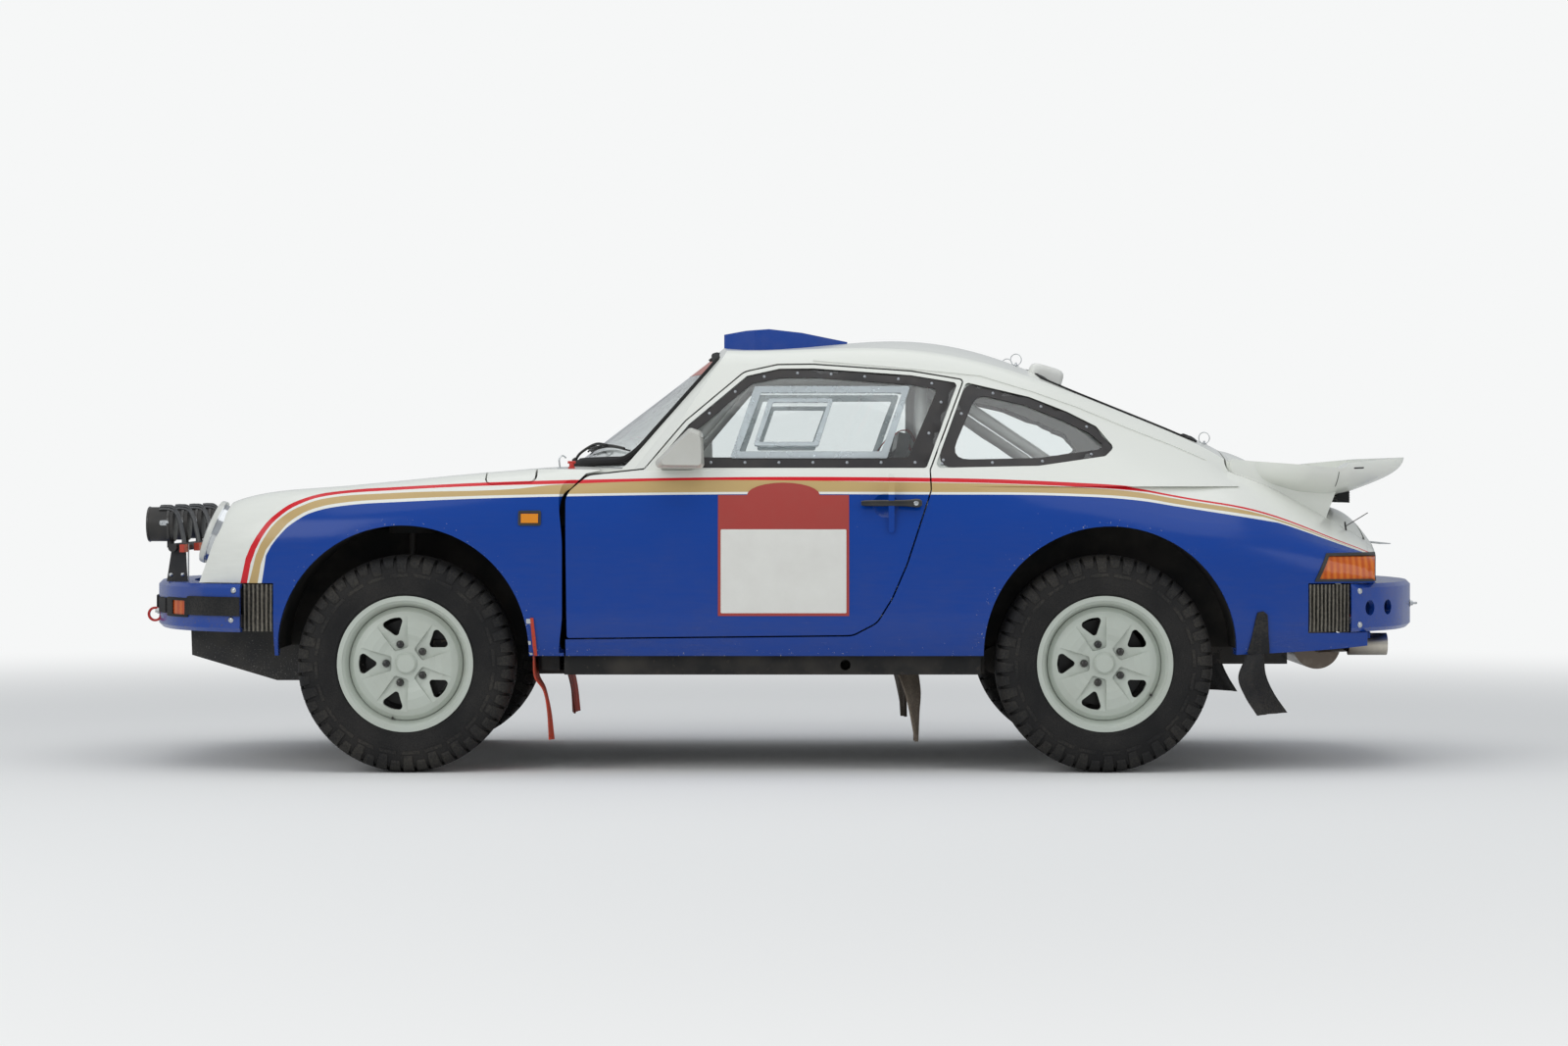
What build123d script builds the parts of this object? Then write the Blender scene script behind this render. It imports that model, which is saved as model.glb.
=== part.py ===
# A rear-engined two-door rally coupe, raised for gravel stages, as an assembly of separate pieces.
# Frame: X runs to the rear, +Y to the car's right, Z up; the origin is on the ground, midway
# between bumper ends and between the sides. All lengths are in millimetres.
import math
import os

from build123d import *

# Overall layout
front_axle_x = -1230.0
wheelbase = 2272.0
rear_axle_x = front_axle_x + wheelbase
tyre_radius = 354.0
tyre_width = 208.0
front_wheel_y = 686.0
rear_wheel_y = 690.0
panel_gap = 5.0
seat_gap = 0.3
skin = 20.0
belt_z = 985.0
arch_clearance = 56.0
arch_radius = tyre_radius + arch_clearance
front_arch = (front_axle_x - 8.0, tyre_radius + 40.0)
rear_arch = (rear_axle_x + 16.0, tyre_radius + 37.0)
half_beam = 1000.0


# Small builders used by many pieces
def box(x0, x1, y0, y1, z0, z1):
    size = (abs(x1 - x0), abs(y1 - y0), abs(z1 - z0))
    centre = ((x0 + x1) / 2, (y0 + y1) / 2, (z0 + z1) / 2)
    return Pos(*centre) * Box(*size)


def rod(start, end, radius):
    start, end = Vector(*start), Vector(*end)
    plane = Plane(origin=start, z_dir=end - start)
    return extrude(plane * Circle(radius), amount=(end - start).length)


def tube_run(points, radius):
    body = None
    for start, end in zip(points, points[1:]):
        piece = rod(start, end, radius)
        body = piece if body is None else body + piece
    for point in points[1:-1]:
        body = body + Pos(*point) * Sphere(radius)
    return body


def side_prism(points, y0, y1, radius=0.0):
    corners = [(x, y0, z) for x, z in points]
    if radius:
        outline = FilletPolyline(*corners, radius=radius, close=True)
    else:
        outline = Polyline(*corners, close=True)
    return extrude(make_face(outline), amount=y1 - y0, dir=(0, 1, 0))


def rounded_side(points, y0, y1, radius, grow):
    outline = make_face(FilletPolyline(*[(x, y0, z) for x, z in points], radius=radius, close=True))
    return extrude(offset(outline, amount=grow, kind=Kind.INTERSECTION), amount=y1 - y0, dir=(0, 1, 0))


def plan_prism(points, z0, z1, radius=0.0):
    corners = [(x, y, z0) for x, y in points]
    if radius:
        outline = FilletPolyline(*corners, radius=radius, close=True)
    else:
        outline = Polyline(*corners, close=True)
    return extrude(make_face(outline), amount=z1 - z0, dir=(0, 0, 1))


def front_prism(points, x0, x1, radius=0.0):
    corners = [(x0, y, z) for y, z in points]
    if radius:
        outline = FilletPolyline(*corners, radius=radius, close=True)
    else:
        outline = Polyline(*corners, close=True)
    return extrude(make_face(outline), amount=x1 - x0, dir=(1, 0, 0))


def other_side(shape):
    return mirror(shape, about=Plane.XZ)


def both_sides(shape):
    return shape + other_side(shape)


# Lower body: sections of the right half, front to rear
# Each one runs out along the floor, up the side, over the haunch and back to the middle.
BODY_COLUMNS = "x y_sill z_sill y_side z_tuck z_shoulder y_haunch z_haunch y_edge z_edge z_mid"
BODY_STATIONS = [
    (-1960, 560, 400, 640, 500, 655, 600, 720, 440, 650, 628),
    (-1750, 700, 380, 742, 510, 740, 677, 872, 470, 785, 752),
    (-1500, 752, 380, 793, 515, 750, 722, 895, 500, 862, 838),
    (-1230, 772, 380, 808, 520, 760, 735, 915, 545, 925, 915),
    (-900, 772, 380, 805, 520, 740, 757, 915, 640, 982, 985),
    (-650, 772, 380, 803, 520, 728, 775, 885, 708, 985, 1000),
    (0, 775, 380, 806, 520, 720, 789, 857, 740, 985, 992),
    (500, 778, 380, 810, 520, 715, 792, 855, 736, 985, 990),
    (1042, 790, 380, 826, 530, 700, 770, 870, 640, 985, 1000),
    (1350, 785, 380, 818, 530, 680, 765, 815, 540, 985, 1040),
    (1500, 778, 385, 808, 530, 668, 755, 800, 495, 965, 1052),
    (1650, 765, 392, 790, 530, 655, 735, 770, 478, 905, 980),
    (1846, 725, 405, 748, 530, 635, 692, 718, 450, 800, 868),
    (1990, 660, 420, 690, 530, 610, 648, 662, 420, 705, 738),
]


def body_section(row, inset):
    x, y_sill, z_sill, y_side, z_tuck, z_shoulder, y_haunch, z_haunch, y_edge, z_edge, z_mid = row
    y_sill, y_side, y_haunch = y_sill - inset, y_side - inset, y_haunch - inset * 0.85
    z_sill, z_haunch, z_edge, z_mid = z_sill + inset, z_haunch - inset * 0.5, z_edge - inset, z_mid - inset

    sill, tuck = Vector(x, y_sill, z_sill), Vector(x, y_side, z_tuck)
    shoulder, haunch = Vector(x, y_side, z_shoulder), Vector(x, y_haunch, z_haunch)
    edge, middle = Vector(x, y_edge, z_edge), Vector(x, 0, z_mid)
    lower = TangentArc(tuck, sill, tangent=(0, 0, -1))
    upper = TangentArc(shoulder, haunch, tangent=(0, 0, 1))
    crown = TangentArc(haunch, edge, tangent=upper % 1)
    top = TangentArc(middle, edge, tangent=(0, 1, 0))
    floor = Vector(x, 0, z_sill)
    return Wire([Line(floor, sill), lower, Line(tuck, shoulder), upper, crown, top, Line(middle, floor)])


def lower_body(inset):
    return Solid.make_loft([body_section(row, inset) for row in BODY_STATIONS])


# Roof and pillars: sections from the scuttle to the tail
ROOF_COLUMNS = "x y_base y_rail z_rail z_mid"
ROOF_STATIONS = [
    (-900, 748, 560, 1330, 1388),
    (-186, 752, 565, 1336, 1400),
    (270, 762, 572, 1345, 1424),
    (647, 760, 566, 1300, 1393),
    (970, 735, 548, 1192, 1270),
    (1293, 670, 520, 1063, 1138),
    (1500, 590, 490, 955, 1046),
]
roof_base_z = 930.0
rail_width = 60.0
rail_height = 45.0


def roof_section(row, inset):
    x, y_base, y_rail, z_rail, z_mid = row
    y_base, y_rail, z_rail, z_mid = y_base - inset, y_rail - inset, z_rail - inset * 0.4, z_mid - inset

    base, rail = Vector(x, y_base, roof_base_z), Vector(x, y_rail, z_rail)
    top, middle = Vector(x, y_rail - rail_width, z_rail + rail_height), Vector(x, 0, z_mid)
    floor = Vector(x, 0, roof_base_z)
    rounded = TangentArc(rail, top, tangent=rail - base)
    crown = TangentArc(middle, top, tangent=(0, 1, 0))
    return Wire([Line(floor, base), Line(base, rail), rounded, crown, Line(middle, floor)])


def roof_body(inset):
    return Solid.make_loft([roof_section(row, inset) for row in ROOF_STATIONS])


# Windscreen: everything behind its raked, bowed face
screen_foot = (-735.0, -483.0, 640.0)
screen_rise = (520.0, 313.0, -95.0)
screen_height = 395.0
screen_foot_z = 1000.0


def behind_screen(inset):
    def section(z):
        k = (z - screen_foot_z) / screen_height
        x_mid, x_side, y_side = [foot + rise * k for foot, rise in zip(screen_foot, screen_rise)]
        x_mid, x_side = x_mid + inset, x_side + inset
        x_out, y_out, x_end = x_side + 60, y_side + 110, 2500
        front = TangentArc((x_mid, 0, z), (x_side, y_side, z), tangent=(0, 1, 0))
        rest = Polyline((x_side, y_side, z), (x_out, y_out, z), (x_end, y_out, z), (x_end, 0, z), (x_mid, 0, z))
        return Wire([front, *rest.edges()])

    return Solid.make_loft([section(900), section(1450)], ruled=True)


screen_frame = 30.0
lower_outer = lower_body(0)
lower_inner = lower_body(skin)
lower_fit = lower_body(skin + seat_gap)
cabin_outer = roof_body(0) & behind_screen(0)
cabin_inner = roof_body(skin) & behind_screen(screen_frame)
body_outer = lower_outer + cabin_outer
body_shell = body_outer - lower_inner - cabin_inner

# Door outline in side view, clockwise from the front lower corner
DOOR_OUTLINE = [
    (-704, 439, 8),
    (-710, 905, 60),
    (-640, 965, 60),
    (-455, 985, 20),
    (-322, 1143, 60),
    (-130, 1306, 60),
    (-20, 1330, 40),
    (97, 1331, 60),
    (420, 1308, 60),
    (589, 1280, 8),
    (474, 985, 3),
    (476, 918, 20),
    (444, 823, 60),
    (397, 680, 100),
    (349, 569, 60),
    (300, 490, 60),
    (222, 449, 60),
]


def door_face():
    corners = [(x, 0, z) for x, z, _ in DOOR_OUTLINE]
    radii = [radius for _, _, radius in DOOR_OUTLINE]
    return make_face(FilletPolyline(*corners, radius=radii, close=True))


def outline_prism(face, grow, y0, y1):
    if grow:
        face = offset(face, amount=grow, kind=Kind.INTERSECTION)
    return extrude(Pos(0, y0, 0) * face, amount=y1 - y0, dir=(0, 1, 0))


door_cut = outline_prism(door_face(), 0, 300, half_beam)
door_aperture = outline_prism(door_face(), panel_gap, 300, half_beam)

# Plan outline of the luggage lid, front to rear, and of the engine lid
LID_HALF_PLAN = [(-1928, 0), (-1926, 300), (-1908, 405), (-1840, 455), (-1230, 545), (-790, 640), (-765, 620)]
lid_rear_mid = -842.0
engine_lid_x = (1475.0, 1938.0)
engine_lid_y = (480.0, 425.0)
lid_gap = panel_gap + 1.5


def front_lid_plan(grow):
    right = []
    for x, y in LID_HALF_PLAN:
        right.append(Vector(x - grow * (x < -1900) + grow * (x > -780), y + grow * (y > 100), 500))
    left = [Vector(v.X, -v.Y, v.Z) for v in reversed(right[1:])]
    rear = ThreePointArc(right[-1], Vector(lid_rear_mid + grow, 0, 500), left[0])
    front = Polyline(*left, *right)
    return extrude(make_face(Wire([*front.edges(), rear])), amount=600, dir=(0, 0, 1))


def engine_lid_plan(grow):
    x0, x1 = engine_lid_x[0] - grow, engine_lid_x[1] + grow
    y0, y1 = engine_lid_y[0] + grow, engine_lid_y[1] + grow
    return plan_prism([(x0, y0), (x1, y1), (x1, -y1), (x0, -y0)], 600, 1200, 40)


lid_cut = front_lid_plan(0)
lid_hole = front_lid_plan(lid_gap)
engine_lid_cut = engine_lid_plan(0)
engine_lid_hole = engine_lid_plan(lid_gap)
front_lid = both_sides(body_shell & lid_cut & box(-1935, -700, 0, 700, 600, 1100))

# Front wing: from the lamp plane to the door gap, with its arch and its share of the scuttle side
bumper_z = (457.0, 613.0)
front_bumper_end = -1660.0
rear_bumper_start = 1702.0
lamp_plane_top = (-1817.0, 869.0)
lamp_plane_low = (-1911.0, 627.0)
WING_OUTLINE = [
    (-1990, 300),
    (-715, 300),
    (-716, 903),
    (-646, 972),
    (-600, 982),
    (-600, 1100),
    (-1990, 1100),
]
hinge_pin = (-690.0, 775.0)
hinge_relief = 41.0
wheel_cut_front = Pos(front_arch[0], 0, front_arch[1]) * Rot(90, 0, 0) * Cylinder(arch_radius, 3000)
wheel_cut_rear = Pos(rear_arch[0], 0, rear_arch[1]) * Rot(90, 0, 0) * Cylinder(arch_radius, 3000)
ahead_of_lamps = side_prism(
    [(-2200, 500), (-1965, 500), lamp_plane_low, lamp_plane_top, (-1740, 1067), (-2200, 1067)],
    400,
    half_beam,
)
lamp_plane_angle = math.degrees(math.atan2(
    lamp_plane_top[0] - lamp_plane_low[0], lamp_plane_top[1] - lamp_plane_low[1]))
hinge_clear = Pos(hinge_pin[0], hinge_pin[1], 700) * Cylinder(hinge_relief, 620)
bumper_space = box(-2300, front_bumper_end, 0, half_beam, 200, bumper_z[1] + 3)
scuttle_side = plan_prism([(-900, 0), (-790, 640), (-760, 644), (-600, 668), (-500, 668), (-500, 0)], 600, 1200)
floor_space = box(-2100, 2100, 0, 690, 200, 430) + box(1600, 2100, 0, 640, 200, 455)
wing_region = side_prism(WING_OUTLINE, 0, half_beam) - lid_hole - scuttle_side - floor_space
nose_space = box(-1990, -1700, 0, 430, 400, 700)
front_wing = (body_shell & wing_region) - [wheel_cut_front, ahead_of_lamps, bumper_space, hinge_clear, nose_space]
lamp_centre = (-1850.0, 598.0, 770.0)
lamp_radius = 98.0


def lamp_axis(shape):
    return Pos(*lamp_centre) * Rot(0, -90 + lamp_plane_angle, 0) * shape


lamp_wall_space = ahead_of_lamps.translate((12, 0, 0))
lamp_wall = lower_outer & lamp_wall_space & box(-2000, -1700, 435, half_beam, bumper_z[1] + 3, 900)
lamp_wall = lamp_wall - [ahead_of_lamps, lid_hole]
front_wing = front_wing + lamp_wall - lamp_axis(Cylinder(lamp_radius, 300))

# Fuel flap: a rounded panel in the crown of the left front wing
flap_plan = [(-970, 640), (-812, 640), (-812, 735), (-970, 735)]
flap_hole_plan = [(-975, 635), (-805, 635), (-805, 740), (-975, 740)]
flap_thickness = 6.0
fuel_flap_right = (lower_outer & plan_prism(flap_plan, 850, 1050, 22)) - lower_body(flap_thickness)
fuel_flap = other_side(fuel_flap_right)
front_wing_right = front_wing
front_wing_left = other_side(front_wing - plan_prism(flap_hole_plan, 850, 1050, 27))

# Scuttle: the strip between the luggage lid and the windscreen, with the ends under the pillars
scuttle_region = plan_prism([(-860, 0), (-760, 639), (-605, 663), (-420, 663), (-420, 0)], 600, 1200)
scuttle_half = (lower_outer - lower_inner) & scuttle_region
scuttle_half = scuttle_half - lid_hole - door_aperture
scuttle = both_sides(scuttle_half & box(-900, -400, 0, 700, 900, 1100))

# Roof with its pillars, above the belt line
low_front = lower_outer & box(-1000, -380, -half_beam, half_beam, 900, 1100)
roof_half = (body_shell & box(-700, 1700, 0, half_beam, belt_z, 1600)) - low_front - door_aperture
quarter_pane_outline = [
    (492, 991),
    (832, 998),
    (1055, 1030),
    (1086, 1058),
    (1030, 1128),
    (935, 1176),
    (809, 1225),
    (600, 1273),
]
quarter_hole_outline = [
    (530, 1005),
    (832, 1012),
    (1045, 1042),
    (1062, 1059),
    (1015, 1114),
    (925, 1158),
    (805, 1207),
    (628, 1246),
]
pane_depth = 6.0
pane_thickness = 5.0
pane_bed = roof_body(pane_depth)
pane_back = roof_body(pane_depth + pane_thickness)
pane_floor = roof_body(pane_depth + pane_thickness + seat_gap)
roof_fit = roof_body(-seat_gap)
edge_play = 0.5
quarter_hole = side_prism(quarter_hole_outline, 400, half_beam, 12)
quarter_seat = rounded_side(quarter_pane_outline, 400, half_beam, 14, edge_play) - pane_floor
roof_half = roof_half - quarter_hole - quarter_seat
screen_hole_half = front_prism([(0, 940), (596, 940), (596, 1012), (512, 1352), (350, 1374), (0, 1380)], -900, 60)
rear_screen_plan = [(0, 823), (430, 856), (462, 960), (440, 1330), (400, 1382), (0, 1400)]
rear_screen_hole = plan_prism([(x, y) for y, x in rear_screen_plan], 900, 1500)
roof_half = roof_half - (screen_hole_half - box(-900, 100, 0, 700, 0, belt_z)) - rear_screen_hole
roof_half = roof_half - engine_lid_hole
roof = both_sides(roof_half)

# Panes follow the roof sections, set in from the outer face
quarter_pane = (pane_bed & side_prism(quarter_pane_outline, 400, half_beam, 14)) - pane_back
quarter_windows = both_sides(quarter_pane)
screen_outline = [(0, 960), (595.7, 960), (595.7, 1012), (511.7, 1351.8), (349.9, 1373.7), (0, 1379.7)]
windscreen_half = (behind_screen(10) & front_prism(screen_outline, -900, 60)) - behind_screen(16)
windscreen_half = windscreen_half & pane_bed - lower_body(-seat_gap)
windscreen = both_sides(windscreen_half)
rear_pane_plan = [(0, 823.3), (429.8, 856.3), (461.7, 960), (439.7, 1329.9), (399.8, 1381.7), (0, 1399.7)]
rear_pane = (pane_bed & plan_prism([(x, y) for y, x in rear_pane_plan], 900, 1500)) - pane_back
rear_window = both_sides(rear_pane)
fixed_windows = Compound(children=[windscreen, rear_window, *quarter_windows.solids()])

# Doors: outer skin with the window frame, and a narrower inner box behind the skin
door_depth = 75.0
door_box_face = make_face(FilletPolyline(*[(x, 0, z) for x, z in [
    (-668, 470), (-668, 880), (-600, 950), (452, 962), (440, 890), (395, 760), (350, 650), (300, 550), (225, 480),
]], radius=30, close=True))
door_box = (lower_outer & outline_prism(door_box_face, 0, 300, half_beam)) - lower_body(door_depth) - cabin_inner
door_box = door_box & box(-700, 600, 640, half_beam, 400, belt_z - 8)
window_outline = [
    (-430, 991), (-312, 1133), (-122, 1294), (-15, 1318), (97, 1319), (418, 1296), (572, 1271), (464, 991),
]
window_hole = [
    (-362, 1024), (-286, 1114), (-106, 1268), (-8, 1287), (97, 1288), (412, 1265), (505, 1250), (405, 1024),
]
window_cut = side_prism(window_hole, 400, half_beam, 14)
window_seat = rounded_side(window_outline, 400, half_beam, 12, edge_play) - pane_floor
door_panel = (body_shell & door_cut) + door_box
door_panel = door_panel - window_cut - window_seat
handle_z = 876.0
handle_recess = Pos(330, 838, handle_z + 6) * Sphere(66)
handle_bar = extrude(
    Plane(origin=(348, 800, handle_z), z_dir=(0, 1, 0)) * SlotOverall(190, 19), amount=14)
handle_posts = [rod((x, 765, handle_z), (x, 806, handle_z), 8) for x in (276, 420)]
door_right = door_panel - handle_recess + handle_posts + handle_bar
door_left = other_side(door_right)
door_window_right = (pane_bed & side_prism(window_outline, 400, half_beam, 12)) - pane_back
door_window_left = other_side(door_window_right)


# Door mirror: a tapering pod standing on the door ledge ahead of the window
def mirror_outline(y, shrink):
    points = [(-440, 990), (-305, 1122), (-264, 1108), (-258, 988)]
    x_mid, z_mid = -300, 1040
    return Wire(FilletPolyline(
        *[(x_mid + (x - x_mid) * shrink, y, z_mid + (z - z_mid) * shrink) for x, z in points],
        radius=16 * shrink, close=True).edges())


mirror_pod = Solid.make_loft([mirror_outline(742, 0.95), mirror_outline(800, 1.0), mirror_outline(880, 0.8)])
mirror_glass_recess = box(-272, -230, 760, 862, 1004, 1090)
mirror_foot = box(-400, -300, 700, 760, 986, 1004) - roof_fit
door_mirror_right = mirror_pod - mirror_glass_recess + mirror_foot - lower_body(-seat_gap)
door_mirror_left = other_side(door_mirror_right)

# Rear quarter with rocker, arch and the strip beside the engine lid
rear_end = 1990.0
tail_bow_radius = 4133.0
tail_wall = 24.0
lid_end_x = engine_lid_x[1] + lid_gap
lid_end_y = engine_lid_y[1] + lid_gap


def inside_tail(inset):
    return Pos(rear_end - tail_bow_radius - inset, 0, 700) * Cylinder(tail_bow_radius, 1400)


tail_outer = inside_tail(0)
tail_inner = inside_tail(tail_wall)
tail_fit = inside_tail(tail_wall - seat_gap)
rear_bumper_space = box(rear_bumper_start, 2300, 0, half_beam, bumper_z[0] - 3, bumper_z[1] + 3)
lamp_outline = [(1728, 624), (1768, 707), (1995, 707), (1995, 624)]
rear_lamp_space = side_prism([(1727, 623.5), (1767, 707.5), (1995, 707.5), (1995, 623.5)], 430, half_beam)
quarter_region = box(-709, rear_end, 0, half_beam, 300, belt_z) & tail_inner
rear_quarter = (body_shell & quarter_region) - [
    door_aperture,
    wheel_cut_rear,
    engine_lid_hole,
    floor_space,
    rear_bumper_space,
    rear_lamp_space,
    box(-720, 280, 0, half_beam, 600, 1000),
    box(-720, -690, 0, half_beam, 434, 620),
    box(480, 1400, 0, 500, 400, belt_z),
    box(lid_end_x, rear_end + 1, 0, lid_end_y, 600, belt_z),
]
rear_quarter_right = rear_quarter
rear_quarter_left = other_side(rear_quarter)

# Tail panel between the lamps with the apron under the bumper
tail_space = box(1900, rear_end + 1, 0, half_beam, bumper_z[1] + 3, 800)
tail_plate = (lower_outer & tail_outer & tail_space) - tail_fit
tail_strip = body_shell & tail_outer & box(lid_end_x, rear_end + 1, 0, lid_end_y - seat_gap, bumper_z[1] + 3, 900)
tail_apron = lower_fit & box(1900, 1925, 0, 640, 395, bumper_z[0] - 3)
tail_link = box(1900, 1925, 300, 340, 440, 500 - seat_gap) + box(1950, 1970, 300, 340, 560 + seat_gap, 640)
rear_panel = both_sides(tail_plate + tail_strip - rear_lamp_space - engine_lid_hole + tail_apron + tail_link)

# Rear lamps wrap round the tail corners
rear_lamp = lower_outer & tail_outer & side_prism(lamp_outline, 430.5, half_beam)
rear_lamp = rear_lamp - (lower_body(26) & tail_inner & box(1600, rear_end, 0, half_beam, 500, 800))
rear_lamps = both_sides(rear_lamp)

# Engine lid with its tray-shaped spoiler, lofted through plan outlines of rising height
tail_side = [(1488, 1022), (1560, 1014), (1700, 1003), (1830, 991), (1850, 930), (1800, 800), (1480, 960)]
tail_base_plan = [(1480, 0), (1480, 468), (1855, 428), (1855, 0)]
tail_base = (side_prism(tail_side, 0, 468, 8) & plan_prism(tail_base_plan, 700, 1100) & engine_lid_cut) - lower_inner
TRAY_COLUMNS = "z x_root y_root x_mid y_mid x_side y_side x_tail y_tail x_rear"
TRAY_SECTIONS = [
    (895, 1560, 300, 1690, 392, 1780, 415, 1822, 350, 1850),
    (930, 1560, 400, 1710, 478, 1850, 506, 1930, 450, 1962),
    (965, 1560, 440, 1730, 548, 1870, 578, 2000, 528, 2042),
    (1000, 1560, 450, 1740, 580, 1880, 606, 2040, 562, 2086),
    (1030, 1560, 450, 1740, 582, 1880, 610, 2048, 570, 2098),
]
TRAY_TOP = [
    (1540, 860), (1540, 1016), (1700, 1003), (1836, 990), (1862, 1008), (2050, 1026), (2110, 1026), (2110, 860),
]
DISH_PLAN = [(1800, 420), (1900, 560), (1990, 556), (2026, 510), (2052, 200)]
dish_floor_z = 978.0
tray_corner = 60.0


def tray_outline(row):
    z, x_root, y_root, x_mid, y_mid, x_side, y_side, x_tail, y_tail, x_rear = row
    right = [(x_root, y_root), (x_mid, y_mid), (x_side, y_side), (x_tail, y_tail), (x_rear, 180)]
    left = [(x, -y) for x, y in reversed(right)]
    return Wire(FilletPolyline(*[(x, y, z) for x, y in right + left], radius=tray_corner, close=True).edges())


tray = Solid.make_loft([tray_outline(row) for row in TRAY_SECTIONS]) & side_prism(TRAY_TOP, -half_beam, half_beam)
tray = tray - plan_prism(DISH_PLAN + [(x, -y) for x, y in reversed(DISH_PLAN)], dish_floor_z, 1100, 30)
tail_duct = side_prism([(1600, 985), (1780, 975), (1780, 700), (1560, 700)], -380, 380)
grille_slots = [box(x, x + 14, -330, 330, 940, 1050) for x in range(1610, 1770, 26)]
engine_lid_half = (body_shell & engine_lid_cut & box(1470, rear_end, 0, half_beam, 600, 1100)) + tail_base
engine_lid = both_sides(engine_lid_half) + tray - [tail_duct, *grille_slots]


# Bumpers: a curved face with top and bottom flanges
def bumper_wire(plan, near, far, z):
    x_mid, x_corner, y_corner, x_end, y_end = plan
    sign = 1 if x_mid > 0 else -1

    def curve(inset):
        middle = Vector(x_mid - sign * inset, 0, z)
        edges, ends = [], []
        for side in (1, -1):
            corner = Vector(x_corner - sign * inset * 0.9, side * (y_corner - inset * 0.35), z)
            end = Vector(x_end, side * (y_end - inset), z)
            first = TangentArc(middle, corner, tangent=(0, side, 0))
            edges += [first, TangentArc(corner, end, tangent=first % 1)]
            ends.append(end)
        return edges, *ends

    outer, outer_right, outer_left = curve(near)
    inner, inner_right, inner_left = curve(far)
    return Wire([*outer, Line(outer_right, inner_right), *inner, Line(inner_left, outer_left)])


def bumper_ring(plan, near, far, z0, z1):
    return extrude(make_face(bumper_wire(plan, near, far, z0)), amount=z1 - z0, dir=(0, 0, 1))


FRONT_BUMPER = (-2141, -2052, 480, -1766 - seat_gap, 785)
REAR_BUMPER = (2144, 2058, 480, 1844 + seat_gap, 768)
bumper_skin = 22.0
bumper_flange = 120.0
bumper_edge = 13.0


def bumper(plan):
    z0, z1 = bumper_z
    rows = [(bumper_edge, z0), (0, z0 + bumper_edge), (0, z1 - bumper_edge), (bumper_edge, z1)]
    face = Solid.make_loft([bumper_wire(plan, near, bumper_skin, z) for near, z in rows], ruled=True)
    top = bumper_ring(plan, bumper_edge, bumper_flange, z1 - 14, z1)
    low = bumper_ring(plan, bumper_edge, 60, z0, z0 + 14)
    rear = 1 if plan[0] > 0 else -1
    bracket = box(rear * 1940, rear * 2095, 300, 340, 500, 560)
    return face + top + low + bracket + other_side(bracket)


indicator_z = (506.0, 556.0)
indicator_x = -1964.0
indicator_lamp = bumper_ring(FRONT_BUMPER, 0, 30, *indicator_z) & box(-2130, indicator_x, 500, 700, *indicator_z)
indicator_hole = box(
    -2130, indicator_x + edge_play, 500 - edge_play, 710, indicator_z[0] - edge_play, indicator_z[1] + edge_play)
front_bumper = bumper(FRONT_BUMPER) - indicator_hole - other_side(indicator_hole)
tow_eye = rod((-2119, -325, 500), (-2119, -315, 500), 25) + rod((-2096, -320, 500), (-2060, -320, 500), 9)
front_bumper = front_bumper + tow_eye - rod((-2119, -325, 500), (-2119, -315, 500), 17)
rear_bumper = bumper(REAR_BUMPER)
for x, y, angle in [(1913, 706, 44), (1985, 618, 33)]:
    hole = Pos(x, y, 534) * Rot(0, 0, -angle) * Rot(90, 0, 0) * Cylinder(25, 90)
    rear_bumper = rear_bumper - hole - other_side(hole)

# Rubber bellows between bumper ends and wings
bellows = []
for x0, x1 in [(-1766, front_bumper_end - seat_gap), (rear_bumper_start + seat_gap, 1844)]:
    sleeve = (lower_outer & box(x0, x1, 660, half_beam, bumper_z[0] + 1, bumper_z[1] - 1)) - lower_body(34)
    bellows.append(sleeve)
bumper_bellows = both_sides(bellows[0] + bellows[1])

# Floor structure: floor, tunnel, sills, bulkheads, luggage well, wheel housings, rails
floor_z = 330.0
well_y = 400.0
housing_y = 552.0
strut_top = (front_axle_x, 505.0, 860.0)


def wheel_liner(centre, y0, y1):
    ring = Cylinder(arch_radius + 10, y1 - y0) - Cylinder(arch_radius + 2, y1 - y0)
    ring = Pos(centre[0], (y0 + y1) / 2, centre[1]) * Rot(90, 0, 0) * ring
    return ring & box(-3000, 3000, 0, half_beam, centre[1], 1000) & lower_fit


past_middle = -1.0
rack_radius = 9.0
rack_x = front_axle_x + 125.0
rack_z = tyre_radius - 54.0
TUB_BOXES = [
    (-790, 655, past_middle, 690, 318, floor_z),
    (-715, 640, 640, 689.7, 318, 430),
    (-715, 640, 689, 750, 318, 379.7),
    (-790, 640, past_middle, 75, floor_z - 1, 470),
    (-790, -732, 640, 725, 330, 880),
    (-802, -789, past_middle, 690, 318, 930),
    (-1900, -801, past_middle, well_y, 560, 572),
    (-1900, -1888, past_middle, well_y, 560, 600),
    (-1900, -1640, well_y - 12, well_y, 560, 620),
    (-1660, -1490, well_y - 12, well_y, 400, 725),
    (-1500, -801, well_y - 12, well_y, 400, 785),
    (140, 170, 680, 690, 420, 520),
    (-1939.7, -1640, 300, 340, 500, 561),
    (-1640, -801, 340, well_y, 400, 440),
    (-1290, -1170, past_middle, 341, 330, 425),
    (-1180, -820, past_middle, 330, 420, 561),
    (rack_x - 67, rack_x + 35, past_middle, 170, rack_z - 30, 425),
    (640, 655, past_middle, 690, 318, 560),
    (640, 1010, past_middle, housing_y, 548, 560),
    (998, 1010, past_middle, housing_y, 548, 905),
    (998, 1440, past_middle, 600, 893, 905),
    (640, 1480, housing_y - 12, housing_y, 400, 905),
    (640, 1000, housing_y - 12, 600, 893, 905),
    (1440, 1480, 300, housing_y, 500, 560),
    (1440, 1939.7, 300, 340, 500, 560),
]
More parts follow.
